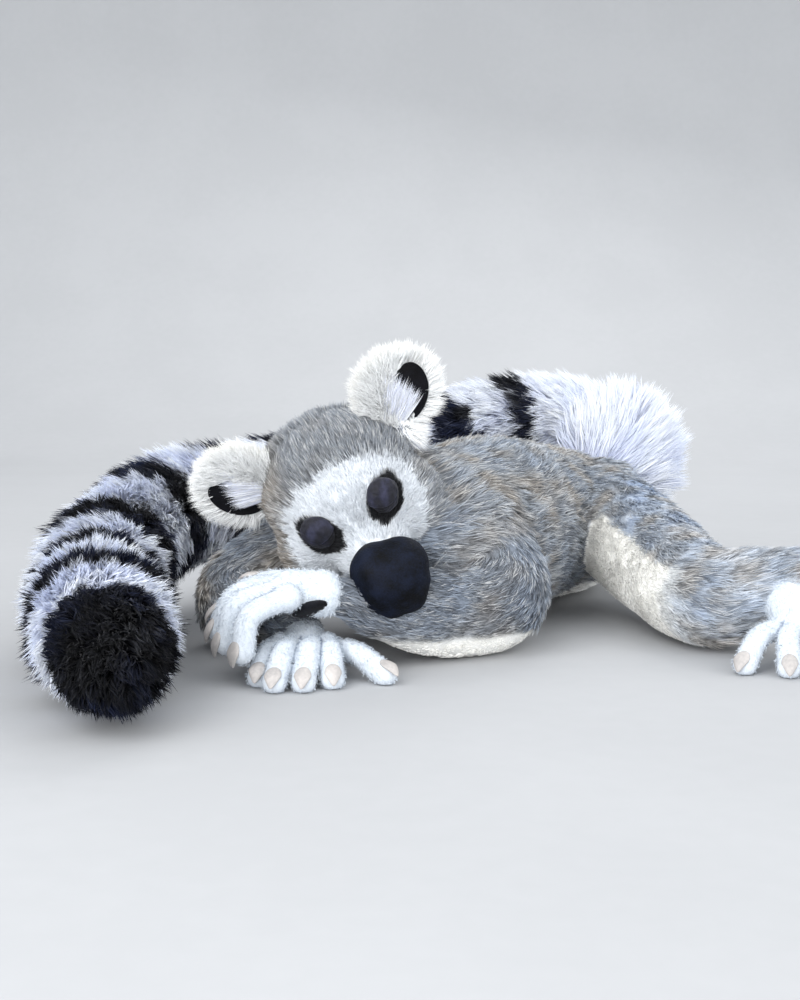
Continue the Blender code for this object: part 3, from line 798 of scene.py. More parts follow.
def tufts(name, spines, sides, widths, roots, tips, uv, material):
    """Blades joined in one mesh, from their spines, side vectors, widths and colours.

    spines is blades x steps x 3. Each blade narrows to its last spine point.
    """
    count, steps, _ = spines.shape
    taper = np.linspace(0.0, 1.0, steps)[:-1]
    profile = (0.75 + 0.5 * np.sin(taper * math.pi)) * (1.0 - taper**2)
    half = sides[:, None, :] * widths[:, None, None] * profile[None, :, None] / 2.0
    left = spines[:, :-1] - half
    right = spines[:, :-1] + half
    pairs = np.stack((left, right), axis=2).reshape(count, -1, 3)
    corners = np.concatenate((pairs, spines[:, -1:]), axis=1)
    each = corners.shape[1]
    pattern, starts = [], []
    for step in range(steps - 2):
        starts.append(len(pattern))
        pattern.extend((2 * step, 2 * step + 1, 2 * step + 3, 2 * step + 2))
    starts.append(len(pattern))
    pattern.extend((each - 3, each - 2, each - 1))
    first = np.arange(count)[:, None]
    loops = (np.array(pattern)[None, :] + first * each).ravel()
    begins = (np.array(starts)[None, :] + first * len(pattern)).ravel()
    flat = corners.reshape(-1, 3)
    flat[:, 2] = np.maximum(flat[:, 2], FLOOR_CLEAR)
    mesh = mesh_from(name, flat, loops, begins)

    level = np.concatenate((np.repeat(taper, 2), [1.0]))[None, :, None]
    blend = np.clip(level * 1.15, 0.0, 1.0)
    paint(mesh, (roots[:, None, :] * (1.0 - blend) + tips[:, None, :] * blend).reshape(-1, 3))
    across = np.concatenate((np.tile((0.0, 1.0), steps - 1), [0.5]))
    patch = np.stack((across, level[0, :, 0]), axis=1) * TUFT_PATCH
    places = (uv[:, None, :] * 0.996 + patch[None, :, :])[:, pattern]
    map_uv(mesh, places.reshape(-1, 2))
    mesh.materials.append(material)
    return show(name, mesh)


def bent(root, knee, tip, steps):
    """Curves from root to tip, drawn toward the knee, as blades x steps x 3."""
    t = np.linspace(0.0, 1.0, steps)[None, :, None]
    return (1 - t) ** 2 * root[:, None] + 2 * t * (1 - t) * knee[:, None] + t**2 * tip[:, None]


def locks(skin, chosen, count, each, spread, random):
    """Places for tufts gathered in locks: the lock's middle, its normal and each offset."""
    places, normals = skin.scattered(chosen, count, random)
    guide = unit(np.cross(normals, unit(random.normal(size=(count, 3)))))
    other = np.cross(normals, guide)
    r = spread * np.sqrt(random.random((count, each, 1)))
    turn = random.uniform(0.0, 2.0 * math.pi, (count, each, 1))
    offsets = r * (np.cos(turn) * guide[:, None, :] + np.sin(turn) * other[:, None, :])
    return places, normals, offsets


def grow(skin, name, chosen, count, look, material, colours, uv_of, random):
    """Plants a coat on the chosen triangles: count locks with this look."""
    places, normals, offsets = locks(skin, chosen, count, look.each, look.spread, random)
    owner, along, lie = survey(places, normals)
    length = look.length(places, normals, owner, along)
    rise = look.rise(places, normals, owner, along)
    lie = unit(lie + level(random.normal(size=(count, 3)) * look.stray, normals))

    def wide(values):
        return np.repeat(values, look.each, axis=0)

    total = count * look.each
    n, d = wide(normals), wide(lie)
    shift = offsets.reshape(total, 3)
    lengths = wide(length * random.uniform(*LOCK_LENGTHS, count))
    lengths = lengths * random.uniform(*BLADE_LENGTHS, total)
    d = unit(d + random.normal(size=(total, 3)) * look.stray * BLADE_STRAY)
    loft = wide(random.uniform(*LOCK_LOFTS, count)) * random.uniform(*BLADE_LOFTS, total)
    lift = wide(rise) * loft
    rest = wide(look.settle * rise) * loft
    first = unit(np.cos(lift)[:, None] * d + np.sin(lift)[:, None] * n)
    last = unit(np.cos(rest)[:, None] * d + np.sin(rest)[:, None] * n)
    root = wide(places) + shift
    knee = root + first * (lengths * 0.5)[:, None] - shift * (look.gather * 0.35)
    tip = knee + last * (lengths * 0.5)[:, None] - shift * (look.gather * 0.65)
    facing = unit(np.cross(tip - root, n) + random.normal(size=(total, 3)) * BLADE_TWIST)
    facing = unit(level(facing, unit(tip - root)))
    widths = look.width * random.uniform(*BLADE_WIDTHS, total)
    spot = wide(places) + shift * look.blend
    shifted = wide(along + random.normal(size=count) * look.ragged)
    base = markings(spot, n, wide(owner), shifted)
    lows, highs = colours(base, np.repeat(np.arange(count), look.each), random)
    spines = bent(root, knee, tip, BLADE_STEPS)
    return tufts(name, spines, facing, widths, lows, highs, uv_of(root), material)


def wool(base, lock, random):
    """Grey tufts: dark roots, partly the agouti's own colour and partly painted shade in the depth of
    the pile, and each lock's tips from dark to light. White ones vary a little in tone and get a
    little painted shade at the roots.
    """
    total = len(base)
    bright = base.max(axis=1)
    grey = (smooth(0.80, 0.66, bright) * smooth(0.06, 0.20, bright))[:, None]
    mood = random.random(lock[-1] + 1)[lock]
    tone = random.normal(size=lock[-1] + 1)[lock] * 0.18 + random.normal(size=total) * 0.09
    tips = base * np.exp(tone)[:, None]
    pale = random.random(total) < 0.10 + 0.50 * smooth(0.72, 0.95, mood)
    dark = random.random(total) < 0.05 + 0.55 * smooth(0.20, 0.03, mood)
    tips = mixed(tips, linear(GREY_LIGHT), pale * 0.62)
    tips = mixed(tips, linear(GREY_DARK), dark * 0.66)
    soft = base * (1.0 + 0.03 * random.normal(size=(total, 1)))
    # Painted shade: roots darker than the tips, deeply for grey pile and a little for white.
    roots = base * (0.42 * grey + 0.94 * (1.0 - grey))
    return roots, tips * grey + soft * (1.0 - grey)


def long_pile(base, lock, random):
    """Tail tufts: painted shade at the roots, lavender under the white and darker under the black;
    the blue in the black is a painted sheen.
    """
    white = smooth(0.2, 0.5, base.max(axis=1))
    tone = random.normal(size=lock[-1] + 1)[lock] * 0.05 + random.normal(size=len(base)) * 0.05
    tips = base * np.exp(tone)[:, None]
    # Painted shade in the depth of the pile: lavender for white, 0.6 of the colour for black.
    painted_root_shade = mixed(base * 0.6, linear(LAVENDER), white)
    return painted_root_shade, tips


def new_material(name, sheen, specular):
    """A material with its sheen and specular level, and its nodes, links and shader."""
    made = bpy.data.materials.new(name)
    made.use_nodes = True
    nodes, links = made.node_tree.nodes, made.node_tree.links
    shader = nodes["Principled BSDF"]
    shader.inputs["Specular IOR Level"].default_value = specular
    shader.inputs["Sheen Weight"].default_value = sheen
    shader.inputs["Sheen Roughness"].default_value = 0.5
    return made, nodes, links, shader


def add_noise(nodes, links, scale, detail):
    """Noise over the object's own coordinates."""
    place = nodes.new("ShaderNodeTexCoord")
    noise = nodes.new("ShaderNodeTexNoise")
    noise.inputs["Scale"].default_value = scale
    noise.inputs["Detail"].default_value = detail
    links.new(place.outputs["Object"], noise.inputs["Vector"])
    return noise


def add_range(nodes, links, noise, source, target):
    """The noise between the two source values spread over the two target values."""
    level = nodes.new("ShaderNodeMapRange")
    level.inputs["From Min"].default_value = source[0]
    level.inputs["From Max"].default_value = source[1]
    level.inputs["To Min"].default_value = target[0]
    level.inputs["To Max"].default_value = target[1]
    links.new(noise.outputs["Fac"], level.inputs["Value"])
    return level


def add_grain(nodes, links, noise, strength, distance):
    """A bump from the noise on the shader's normal."""
    grain = nodes.new("ShaderNodeBump")
    grain.inputs["Strength"].default_value = strength
    grain.inputs["Distance"].default_value = distance
    links.new(noise.outputs["Fac"], grain.inputs["Height"])
    links.new(grain.outputs["Normal"], nodes["Principled BSDF"].inputs["Normal"])


def attribute_material(name, roughness, sheen, mottle, bump, scale):
    """Pile or suede in the stored colour, mottled a little, with fine grain."""
    made, nodes, links, shader = new_material(name, sheen, 0.28)
    stored = nodes.new("ShaderNodeAttribute")
    stored.attribute_name = "pile"
    noise = add_noise(nodes, links, scale, 4.0)
    level = add_range(nodes, links, noise, (0.3, 0.7), (1.0 - mottle, 1.0 + mottle))
    shade = nodes.new("ShaderNodeVectorMath")
    shade.operation = "SCALE"
    links.new(stored.outputs["Color"], shade.inputs[0])
    links.new(level.outputs["Result"], shade.inputs["Scale"])
    links.new(shade.outputs["Vector"], shader.inputs["Base Color"])
    add_grain(nodes, links, noise, bump, 0.001)
    shader.inputs["Roughness"].default_value = roughness
    return made


def suede_material(name, dark, light, roughness, scale, bump, sheen, specular):
    """Napped suede, resin or paper: a mottled colour, worn patches and a fine grain."""
    made, nodes, links, shader = new_material(name, sheen, specular)
    broad = add_noise(nodes, links, scale * 0.08, 6.0)
    fine = add_noise(nodes, links, scale, 4.0)
    blend = nodes.new("ShaderNodeMath")
    blend.operation = "MULTIPLY_ADD"
    blend.inputs[1].default_value = 0.45
    links.new(fine.outputs["Fac"], blend.inputs[0])
    links.new(broad.outputs["Fac"], blend.inputs[2])
    ramp = nodes.new("ShaderNodeValToRGB")
    for stop, place, colour in zip(ramp.color_ramp.elements, (0.58, 0.88), (dark, light)):
        stop.position = place
        stop.color = (*linear(colour), 1.0)
    links.new(blend.outputs["Value"], ramp.inputs["Fac"])
    links.new(ramp.outputs["Color"], shader.inputs["Base Color"])
    rough = add_range(nodes, links, broad, (0.0, 1.0), (roughness - 0.12, roughness + 0.12))
    links.new(rough.outputs["Result"], shader.inputs["Roughness"])
    add_grain(nodes, links, fine, bump, 0.0005)
    return made


def set_piece(obj, material, slot, *nodes):
    """Gives a piece its material, hangs it from the root and hides the CAD nodes it stands for; slot
    is not used.
    """
    obj.data.materials.clear()
    obj.data.materials.append(material)
    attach(obj, "root")
    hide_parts(*nodes)
    return obj


def muzzle_piece():
    """The suede cap: a rounded block, squarer at its top edge and drawn in at the chin."""
    corners, faces = sphere(72, 48)
    x, y, z = corners.T
    reach = (np.abs(x) ** MUZZLE_SQUARE + np.abs(z) ** MUZZLE_SQUARE) ** (1 / MUZZLE_SQUARE)
    square = np.hypot(x, z) / np.maximum(reach, 1e-9)
    chin = 1.0 - MUZZLE_CHIN * np.maximum(0.0, -z) ** 1.5
    shape = np.stack((x * square * chin, y, z * square), axis=1) * MUZZLE_HALF
    shape += unit(shape) * (MUZZLE_ROUGH * ripple(shape, 0.022, 51))[:, None]
    return mesh_of("muzzle_cap", [(from_head(shape @ MUZZLE_ROLL.T + MUZZLE_PLACE), faces)])


def inside_muzzle(points, margin):
    """Which points are inside the muzzle cap, grown by a margin."""
    local = (to_head(points) - MUZZLE_PLACE) @ MUZZLE_ROLL
    x, y, z = (local / (np.array(MUZZLE_HALF) + margin)).T
    chin = 1.0 - MUZZLE_CHIN * np.maximum(0.0, -z) ** 1.5
    plane = (np.abs(x / chin) ** MUZZLE_SQUARE + np.abs(z) ** MUZZLE_SQUARE) ** (1 / MUZZLE_SQUARE)
    return np.hypot(plane, y) < 1.0


def lid_frame(sign):
    """A lid's place and axes in the head frame."""
    place = np.array((sign * LID_PLACE[0], LID_PLACE[1], LID_PLACE[2]))
    return place, np.array(Matrix.Rotation(-sign * LID_TURN, 3, "Z"))


def lid_piece(name, sign):
    """A domed suede lid, lapped over the lower lid along the crease of the closed eye."""
    corners, faces = sphere(96, 96)
    shape = corners * LID_HALF
    fold = shape[:, 2] + LID_FOLD - LID_ARCH * shape[:, 0] ** 2 / LID_HALF[0]
    lower = smooth(0.0003, -0.0003, fold)
    crease = np.exp(-(((fold + 0.0004) / LID_CREASE) ** 2))
    edge = np.exp(-(((fold - 0.0007) / 0.0005) ** 2))
    worn = smooth(-1.0, 1.4, ripple(shape, 0.0110, 53, 12))
    depth = LID_LAP * lower + LID_LAP * crease + LID_ROUGH * ripple(shape, 0.0065, 52, 12)
    shape = shape - unit(shape) * depth[:, None]
    place, turn = lid_frame(sign)
    made = mesh_of(name, [(from_head(shape @ turn.T + place), faces)])
    tone = mixed(linear(LID_DARK), linear(LID_LIGHT), worn)
    # Painted shade on the lower lid and in the crease, and a painted highlight along the edge of the
    # fold.
    paint(made.data, tone * (1.0 - 0.45 * lower - 0.50 * crease + 0.60 * edge)[:, None])
    return made


def inside_lids(points, margin):
    """Which points are inside a lid, grown by a margin."""
    local = to_head(points)
    inside = np.zeros(len(points), dtype=bool)
    for sign in (-1.0, 1.0):
        place, turn = lid_frame(sign)
        shape = (local - place) @ turn
        inside |= np.linalg.norm(shape / (np.array(LID_HALF) + margin), axis=1) < 1.0
    return inside


def lining_piece(name, sign, place, lean):
    """The suede dish in the bowl of an ear."""
    turn = ear_turn(sign, lean)
    wide, tall, thick = EAR_SKIN
    angles = np.linspace(0.0, 2.0 * math.pi, LINING_SIDES + 1)[:-1]
    shares = np.linspace(*LINING_SHARES)
    corners, faces = [], []
    for share in shares:
        x = np.cos(angles) * share * EAR_BOWL[0] + sign * EAR_BOWL_SIDE
        z = np.sin(angles) * share * EAR_BOWL[1]
        dome = np.sqrt(np.clip(1.0 - (x / wide) ** 2 - (z / tall) ** 2, 0.0, 1.0)) * thick
        y = dome - math.sqrt(1.0 - share**2) * EAR_DISH + LINING_RISE
        corners.append(np.stack((x, y, z), axis=1))
    for low in range(0, (len(shares) - 1) * LINING_SIDES, LINING_SIDES):
        high = low + LINING_SIDES
        for i in range(LINING_SIDES):
            j = (i + 1) % LINING_SIDES
            faces.append((low + i, low + j, high + j, high + i))
    faces.append(tuple(range(LINING_SIDES - 1, -1, -1)))
    flat = np.concatenate(corners)
    return mesh_of(name, [(flat @ turn.T + from_head(place), faces)])


def digit_lines(digits, grown=0.0):
    """The line of each digit, grown by this much."""
    radii = (DIGIT_ROOT, DIGIT_ROOT, DIGIT_TIP)
    lines = []
    for digit in digits:
        line = Line(tuple(zip(digit, radii)))
        line.radii = line.radii + grown
        line.size = line.size + grown
        lines.append(line)
    return lines


def hand_object(name, heel, digits):
    """A stuffed hand or foot of short plush, grown by what the easing takes off."""
    palm = Line(heel)
    palm.radii = palm.radii + DIGIT_GROWN
    shapes = balls_along(palm)
    for line in digit_lines(digits, DIGIT_GROWN):
        shapes.extend(balls_along(line))
        knuckle = BALL[0] * DIGIT_ROOT * KNUCKLE + line.at(0.0)[0]
        shapes.append((knuckle, BALL[1]))
    return fused(name, shapes, HAND_CELL, HAND_EASE)


def nail_frame(line):
    """The tip of a digit, and side, forward and back of its nail as the columns of a matrix."""
    way = unit(line.ways[-1])
    back = unit(np.array((0.0, 0.0, 1.0)) - way[2] * way)
    return line.at(line.last)[0], np.stack((np.cross(way, back), way, back), axis=1)


def nail_shapes(digits):
    """Flat pointed oval nails on the backs of the tips."""
    shapes = []
    for line in digit_lines(digits):
        corners, faces = sphere(20, 12)
        shape = corners * NAIL
        ahead = np.maximum(0.0, corners[:, 1])
        shape[:, 0] *= 1.0 - NAIL_POINT * ahead
        shape[:, 2] -= NAIL_DROOP * NAIL_LIFT * ahead**2
        at, turn = nail_frame(line)
        shapes.append(((shape + (0.0, NAIL_AHEAD, NAIL_LIFT)) @ turn.T + at, faces))
    return shapes


def pad_shape(heel, way):
    """A padded oval of suede in a palm or sole."""
    corners, faces = sphere(36, 20)
    back, front = np.array(heel[0][0]) + OFFSET, np.array(heel[1][0]) + OFFSET
    down = unit(way)
    ahead = unit(front - back - np.dot(front - back, down) * down)
    turn = np.stack((np.cross(down, ahead), ahead, down), axis=1)
    at = (back + front) / 2.0 + down * PAD_SINK
    return corners * PAD_HALF @ turn.T + at, faces


def studio():
    """A pale floor that curves up behind, soft lights and a pale surround."""
    start, curve, top = WALL
    profile = [(-FLOOR_REACH, 0.0), (start, 0.0)]
    for turn in np.linspace(0.0, math.pi / 2.0, 25)[1:]:
        profile.append((start + curve * math.sin(turn), curve - curve * math.cos(turn)))
    profile.append((start + curve, top))
    corners = np.array([(x, y, z) for x in (-FLOOR_REACH, FLOOR_REACH) for y, z in profile])
    each = len(profile)
    faces = [(i, i + each, i + each + 1, i + 1) for i in range(each - 1)]
    floor = mesh_of("floor", [(corners, faces)])
    paper = suede_material("floor_paper", (178, 179, 181), (181, 182, 184), roughness=0.85,
                           scale=60.0, bump=0.05, sheen=0.0, specular=0.25)
    floor.data.materials.append(paper)
    world = bpy.context.scene.world or bpy.data.worlds.new("World")
    bpy.context.scene.world = world
    world.use_nodes = True
    sky = world.node_tree.nodes["Background"]
    sky.inputs["Color"].default_value = SKY_COLOUR
    sky.inputs["Strength"].default_value = SKY_STRENGTH
    for name, place, size, power in LAMPS:
        lamp = bpy.data.lights.new(name, "AREA")
        lamp.energy = power
        lamp.size = size
        holder = bpy.data.objects.new(name, lamp)
        holder.location = place
        holder.rotation_euler = (-Vector(place)).to_track_quat("-Z", "Y").to_euler()
        bpy.context.scene.collection.objects.link(holder)


def camera():
    """The camera, placed from the head."""
    lens = bpy.data.cameras.new("camera")
    lens.lens = CAMERA_LENS
    lens.clip_start = 0.02
    holder = bpy.data.objects.new("camera", lens)
    holder.location = HEAD_AT + np.array(CAMERA_FROM_HEAD)
    holder.rotation_euler = (math.pi / 2.0 - CAMERA_PITCH, 0.0, 0.0)
    bpy.context.scene.collection.objects.link(holder)
    bpy.context.scene.camera = holder


def line_unwrap(lines):
    """A function that lays roots out on the skin's own shape: along each line and round it."""

    def place(points):
        uv = np.zeros((len(points), 2))
        best = np.full(len(points), np.inf)
        for row, line in enumerate(lines):
            index, height = line.near(points)
            way = line.ways[index]
            up = unit(np.array((0.0, 0.0, 1.0)) - way[:, 2:3] * way)
            off = points - line.points[index]
            turn = np.arctan2((off * np.cross(way, up)).sum(axis=1), (off * up).sum(axis=1))
            spare = 2.0 * line.size.max()
            reach = line.lengths[index] + (off * way).sum(axis=1) + spare
            u = np.clip(reach / (line.lengths[-1] + 2.0 * spare), 0.0, 1.0)
            v = (row + 0.5 + turn / (2.0 * math.pi) * 0.96) / len(lines)
            keep_nearer(best, height, uv, np.stack((u, v), axis=1))
        return uv

    return place


def part_unwrap(names):
    """The unwrap of these body lines."""
    return line_unwrap([LINES[name] for name in names])


def head_unwrap(points):
    """Roots on the head: a globe about the line from the nose to the nape, opened flat."""
    local = to_head(points)
    way = unit(local - (0.0, -0.005, 0.0))
    polar = np.arccos(np.clip(way[:, 1], -1.0, 1.0)) / math.pi
    turn = np.arctan2(way[:, 0], way[:, 2])
    return 0.5 + 0.49 * np.stack((polar * np.sin(turn), polar * np.cos(turn)), axis=1)


def ear_unwrap(points):
    """Roots on the ears: each ear's bowl side and back side in its own quarter."""
    uv = np.zeros((len(points), 2))
    best = np.full(len(points), np.inf)
    for column, (_, sign, place, lean) in enumerate(EARS):
        local = ear_local(points, sign, place, lean)
        reach = np.linalg.norm(local, axis=1)
        row = (local[:, 1] < 0.0).astype(float)
        spot = np.clip(local[:, [0, 2]] / 0.20, -0.24, 0.24) + 0.25
        quarter = np.stack((np.full(len(points), column), row), axis=1) * 0.5
        keep_nearer(best, reach, uv, spot + quarter)
    return uv


def steady(value):
    """A length or rise that is the same everywhere."""
    return lambda places, normals, owner, along: np.full(len(places), value)


def body_length(places, normals, owner, along):
    """Pile length on the body: shorter on the arms, shortest on the cream plush."""
    names = names_of(owner)
    short = np.isin(names, ("arm_left", "arm_right")) * 0.0025
    plush = cream(places, normals, owner, along) * 0.0095
    return 0.0148 - short - plush + 0.0015 * ripple(places, 0.03, 61)


def head_length(places, normals, owner, along):
    """Pile length on the head: shortest on the face, longer to the crown and cheeks."""
    local = to_head(places)
    face = face_white(local)
    dark = eye_black(local)
    return 0.0095 - 0.0050 * face - 0.0008 * dark


def head_rise(places, normals, owner, along):
    """How far the pile stands off the head: most on the face."""
    return 0.50 + 0.10 * face_white(to_head(places))


def ear_length(places, normals, owner, along):
    """Pile length on the ears: long on the rim, short on the back."""
    names = names_of(owner)
    length = np.full(len(places), 0.0085)
    for side, sign, place, lean in EARS:
        local = ear_local(places, sign, place, lean)
        rim = smooth(0.55, 0.95, np.hypot(local[:, 0] / 0.026, local[:, 2] / 0.028))
        length = np.where(names == f"ear_{side}", 0.0075 + 0.0080 * rim, length)
    return length


def near_tip(owner, along):
    """How near a root is to the tip of the tail, from 0 to 1."""
    whole = LINES["tail"].lengths[-1]
    return smooth(whole - TIP_FADE, whole - 0.02, along) * (names_of(owner) == "tail")


def tail_length(places, normals, owner, along):
    """Pile length on the tail: longest at the root, shortest round the tip."""
    names = names_of(owner)
    length = 0.0285 - 0.006 * near_tip(owner, along)
    return np.where(names == "root", 0.037, length) + 0.002 * ripple(places, 0.04, 62)


def tail_rise(places, normals, owner, along):
    """How far the pile stands off the tail: nearly upright at the root."""
    names = names_of(owner)
    rise = 0.90 - 0.20 * near_tip(owner, along)
    return np.where(names == "root", 1.1, rise) + 0.08 * ripple(places, 0.05, 63)


class Look(NamedTuple):
    """How a coat is planted."""

    each: int  # blades in a lock
    spread: float  # radius of a lock at its root
    length: object  # function of the place that gives the length
    width: float
    rise: object  # function of the place: angle off the skin at the root
    settle: float  # share of that angle left at the tip
    gather: float  # how far the blades of a lock draw together
    stray: float  # how far locks turn from the lie of the pile
    blend: float = 1.0  # 1 to colour each blade by its own place, 0 by its lock's
    ragged: float = 0.0  # how far a lock's colour shifts along the tail


BODY_LOOK = Look(each=10, spread=0.0040, length=body_length, width=0.00058, rise=steady(0.40),
                 settle=0.22, gather=0.66, stray=0.13)
HEAD_LOOK = Look(each=8, spread=0.0022, length=head_length, width=0.00046, rise=head_rise,
                 settle=0.40, gather=0.30, stray=0.10)
EAR_LOOK = Look(each=9, spread=0.0024, length=ear_length, width=0.00052, rise=steady(0.80),
                settle=0.70, gather=0.30, stray=0.20)
PLUSH_LOOK = Look(each=12, spread=0.0034, length=body_length, width=0.00060, rise=steady(0.32),
                  settle=0.60, gather=0.0, stray=0.05)
TAIL_LOOK = Look(each=22, spread=0.0064, length=tail_length, width=0.00096, rise=tail_rise,
                 settle=0.40, gather=0.70, stray=0.11, blend=0.0, ragged=0.0016)


def ear_fan(name, sign, place, lean, material):
    """Long soft hairs from the root of an ear: over the inner half of its lining, and down."""
    random = np.random.default_rng(SEED + 700 + int(sign))
    turn = ear_turn(sign, lean)
    count = FAN_HAIRS
    share = random.random(count)
    down = random.random(count) < FAN_DOWN
    inner = -sign
    x = inner * (0.015 - 0.015 * share)
    y = 0.002 + 0.004 * random.random(count)
    z = -0.022 + 0.016 * random.random(count) * (1.0 - share)
    root = np.stack((x, y, z), axis=1)
    aside = random.normal(size=count) * 0.14 - inner * 0.25 * share
    ahead = 0.34 + 0.14 * random.normal(size=count)
    way = np.stack((aside, ahead, np.where(down, -0.9, 1.0)), axis=1)
    way[:, 0] += np.where(down, sign * 0.7, 0.0)
    way = unit(way)
    length = (FAN_LENGTH[0] + FAN_LENGTH[1] * random.random(count) ** 0.8)[:, None]
    knee = root + way * length * 0.5
    bend = way + np.stack((-inner * 0.2 * share, np.full(count, -0.30), share * 0.0), axis=1)
    tip = knee + unit(bend) * length * 0.5
    spines = bent(root, knee, tip, FAN_STEPS) @ turn.T + from_head(place)
    line = unit(tip - root) @ turn.T
    facing = unit(np.cross(line, turn[:, 1]) + random.normal(size=(count, 3)) * 0.4)
    tips = mixed(linear(EAR_WHITE), linear(LAVENDER), random.random(count))
    widths = FAN_WIDTH * random.uniform(*BLADE_WIDTHS, count)
    uv = ear_unwrap(spines[:, 0])
    # Painted shade at the roots of the hairs: 0.94 of the tips.
    return tufts(name, spines, facing, widths, tips * 0.94, tips, uv, material)


def coat_pieces(skin, pile):
    """Plants every coat."""
    owner, along, _ = survey(skin.middles, skin.facing)
    names = names_of(owner)
    bare = inside_muzzle(skin.middles, 0.0006) | inside_lids(skin.middles, -0.0012)
    bowls = np.zeros(len(names), dtype=bool)
    for _, sign, place, lean in EARS:
        local = ear_local(skin.middles, sign, place, lean)
        front = (local[:, 1] > -0.004) & (local[:, 1] < 0.02)
        bowls |= (bowl_share(local, sign) < 1.0) & front
    ears = np.char.startswith(names.astype(str), "ear")
    whole = LINES["tail"].lengths[-1]
    tail = names == "tail"
    pale = cream(skin.middles, skin.facing, owner, along) > 0.5
    thigh = pale & (names == "leg_left")
    belly = pale & ~thigh
    root = (names == "root") | (tail & (along < whole * TAIL_SPLIT[0]))
    end = tail & (along >= whole * TAIL_SPLIT[1])
    parts = {
        "trunk": ("trunk", "neck"),
        "arms": ("arm_left", "arm_right"),
        "legs": ("leg_left", "leg_right"),
        "belly": ("trunk", "neck", "arm_left"),
    }
    plan = (
        ("head", (names == "head") & ~bare, 8000, HEAD_LOOK, head_unwrap, wool, "head_pile"),
        ("ears", ears & ~bowls, 3500, EAR_LOOK, ear_unwrap, wool, "ear_left_pile"),
        ("trunk", np.isin(names, parts["trunk"]) & ~pale, 5950, BODY_LOOK,
         part_unwrap(parts["trunk"]), wool, "trunk_pile"),
        ("arms", np.isin(names, parts["arms"]) & ~pale, 3900, BODY_LOOK,
         part_unwrap(parts["arms"]), wool, "upper_arm_left_pile"),
        ("legs", np.isin(names, parts["legs"]) & ~pale, 5550, BODY_LOOK,
         part_unwrap(parts["legs"]), wool, "thigh_left_pile"),
        ("thigh", thigh, 2000, PLUSH_LOOK, part_unwrap(("leg_left",)), wool, "thigh_left_pile"),
        ("belly", belly, 1450, PLUSH_LOOK, part_unwrap(parts["belly"]), wool, "trunk_pile"),
        ("tail_root", root, 2600, TAIL_LOOK, part_unwrap(("root", "tail")), long_pile,
         "tail_1_pile"),
        ("tail_middle", tail & ~root & ~end, 2620, TAIL_LOOK, part_unwrap(("tail",)), long_pile,
         "tail_4_pile"),
        ("tail_end", end, 2850, TAIL_LOOK, part_unwrap(("tail",)), long_pile, "tail_8_pile"),
    )
    for number, (name, chosen, count, look, unwrap, colours, slot) in enumerate(plan):
        random = np.random.default_rng(SEED * 100 + number)
        coat = grow(skin, f"coat_{name}", chosen, count, look, pile, colours, unwrap, random)
        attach(coat, "root")


def hand_marking(points, digits):
    """White plush, with painted blue-grey shade in the grooves between the digits."""
    heights = []
    for line in digit_lines(digits):
        index, height = line.near(points)
        heights.append(height + 0.004 * smooth(6, 0, index))
    heights = np.sort(np.array(heights), axis=0)
    # Painted shade where two digits meet.
    groove = smooth(0.0020, 0.0002, heights[1] - heights[0]) * smooth(0.006, 0.002, heights[0])
    return mixed(linear(HAND_WHITE), linear(HAND_GROOVE_SHADE), groove * 0.8)


def near_nails(points, digits, margin):
    """Which points are under a nail, grown by a margin."""
    under = np.zeros(len(points), dtype=bool)
    for line in digit_lines(digits):
        at, turn = nail_frame(line)
        side, ahead, rise = ((points - at) @ turn - (0.0, NAIL_AHEAD, NAIL_LIFT)).T
        flat = np.hypot(side / (NAIL[0] + margin), ahead / (NAIL[1] + margin))
        under |= (flat < 1.0) & (np.abs(rise) < NAIL_LIFT)
    return under


def hand_coat(name, skin, heel, digits, material):
    """Very short plush on a hand or foot, lying toward the tips of the digits."""
    random = np.random.default_rng(SEED + 900 + len(name))
    count = HAND_BLADES
    clear = ~near_nails(skin.middles, digits, NAIL_CLEAR)
    places, normals = skin.scattered(clear, count, random)
    lines = digit_lines(digits)
    best = np.full(count, np.inf)
    lie = np.zeros((count, 3))
    for line in lines:
        index, height = line.near(places)
        keep_nearer(best, height, lie, line.ways[index])
    lie = unit(level(lie, normals))
    way = unit(lie * 0.8 + normals * 0.6 + random.normal(size=(count, 3)) * 0.25)
    length = HAND_LENGTH * random.uniform(0.7, 1.3, (count, 1))
    tip = places + way * length
    spines = np.stack((places, (places + tip) / 2.0 + normals * length * 0.12, tip), axis=1)
    facing = unit(np.cross(way, normals) + random.normal(size=(count, 3)) * 0.4)
    white = hand_marking(places, digits)
    tone = np.exp(random.normal(size=(count, 1)) * 0.05)
    uv = line_unwrap([Line(heel), *lines])(places)
    widths = HAND_WIDTH * random.uniform(0.7, 1.3, count)
    # Painted shade at the roots of the plush: 0.9 of the white.
    return tufts(name, spines, facing, widths, white * 0.9, np.clip(white * tone, 0, 1), uv, material)


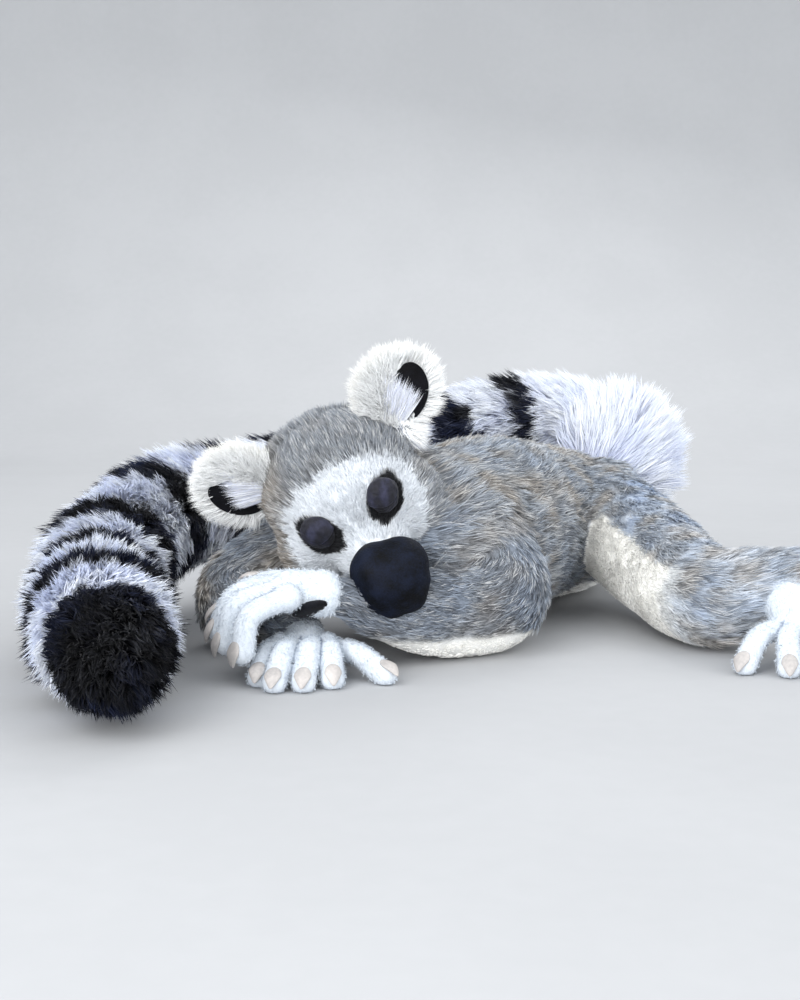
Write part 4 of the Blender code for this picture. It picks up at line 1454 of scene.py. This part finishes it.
def build():
    """Makes every piece of the toy."""
    pile = attribute_material("pile", roughness=0.62, sheen=0.06, mottle=0.06, bump=0.12,
                              scale=900.0)
    backing = attribute_material("backing", roughness=0.9, sheen=0.05, mottle=0.10, bump=0.6,
                                 scale=700.0)
    plush = attribute_material("plush", roughness=0.9, sheen=0.10, mottle=0.05, bump=0.5,
                               scale=1100.0)
    charcoal = attribute_material("suede_charcoal", roughness=0.68, sheen=0.05, mottle=0.40,
                                  bump=0.9, scale=380.0)
    suede = suede_material("suede_black", (6, 6, 9), (20, 21, 27), roughness=0.8, scale=900.0,
                           bump=0.6, sheen=0.03, specular=0.15)
    leather = suede_material("muzzle_suede", (1, 2, 5), (18, 24, 40), roughness=0.62, scale=900.0,
                             bump=0.9, sheen=0.0, specular=0.12)
    horn = suede_material("nail_horn", (168, 164, 162), (198, 192, 188), roughness=0.5,
                          scale=500.0, bump=0.2, sheen=0.0, specular=0.4)

    body = skin_object()
    corners, normals = corners_of(body.data), normals_of(body.data)
    owner, along, _ = survey(corners, normals)
    under = markings(corners, normals, owner, along)
    # The skin is painted darker than the coat over it, least under white pile: painted shade in the
    # depth of the pile.
    white = smooth(0.55, 0.80, under.max(axis=1))[:, None]
    paint(body.data, under * (0.6 + 0.38 * white))
    nodes = ["head", "neck", "trunk", "ear_left", "ear_right"]
    for part in ("upper_arm", "forearm", "thigh", "shank"):
        nodes += [f"{part}_left", f"{part}_right"]
    nodes += [f"tail_{number}" for number in range(1, 9)]
    set_piece(body, backing, "trunk_pile", *nodes)
    coat_pieces(Skin(body), pile)

    set_piece(muzzle_piece(), leather, "muzzle_leather", "muzzle")
    for side, sign, place, lean in EARS:
        set_piece(lid_piece(f"lid_{side}", sign), charcoal, f"eyelid_{side}_suede", f"eyelid_{side}")
        lining = lining_piece(f"lining_{side}", sign, place, lean)
        set_piece(lining, suede, f"ear_lining_{side}_suede", f"ear_lining_{side}")
        fan = ear_fan(f"coat_fan_{side}", sign, place, lean, pile)
        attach(fan, "root")
    for name, (heel, digits, way, pad) in HANDS.items():
        hand = hand_object(f"{name}_plush", heel, digits)
        # The plush is painted with the same groove shade.
        paint(hand.data, hand_marking(corners_of(hand.data), digits))
        set_piece(hand, plush, f"{name}_pile", name)
        coat = hand_coat(f"coat_{name}", Skin(hand), heel, digits, pile)
        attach(coat, "root")
        nails = mesh_of(f"{name}_nails", nail_shapes(digits))
        set_piece(nails, horn, f"nail_{name}_1_resin", *[f"nail_{name}_{i}" for i in range(1, 6)])
        suede_pad = mesh_of(f"{pad}_suede", [pad_shape(heel, way)])
        set_piece(suede_pad, suede, f"{pad}_suede", pad)


build()
studio()
camera()
bpy.context.scene.view_settings.view_transform = "Standard"
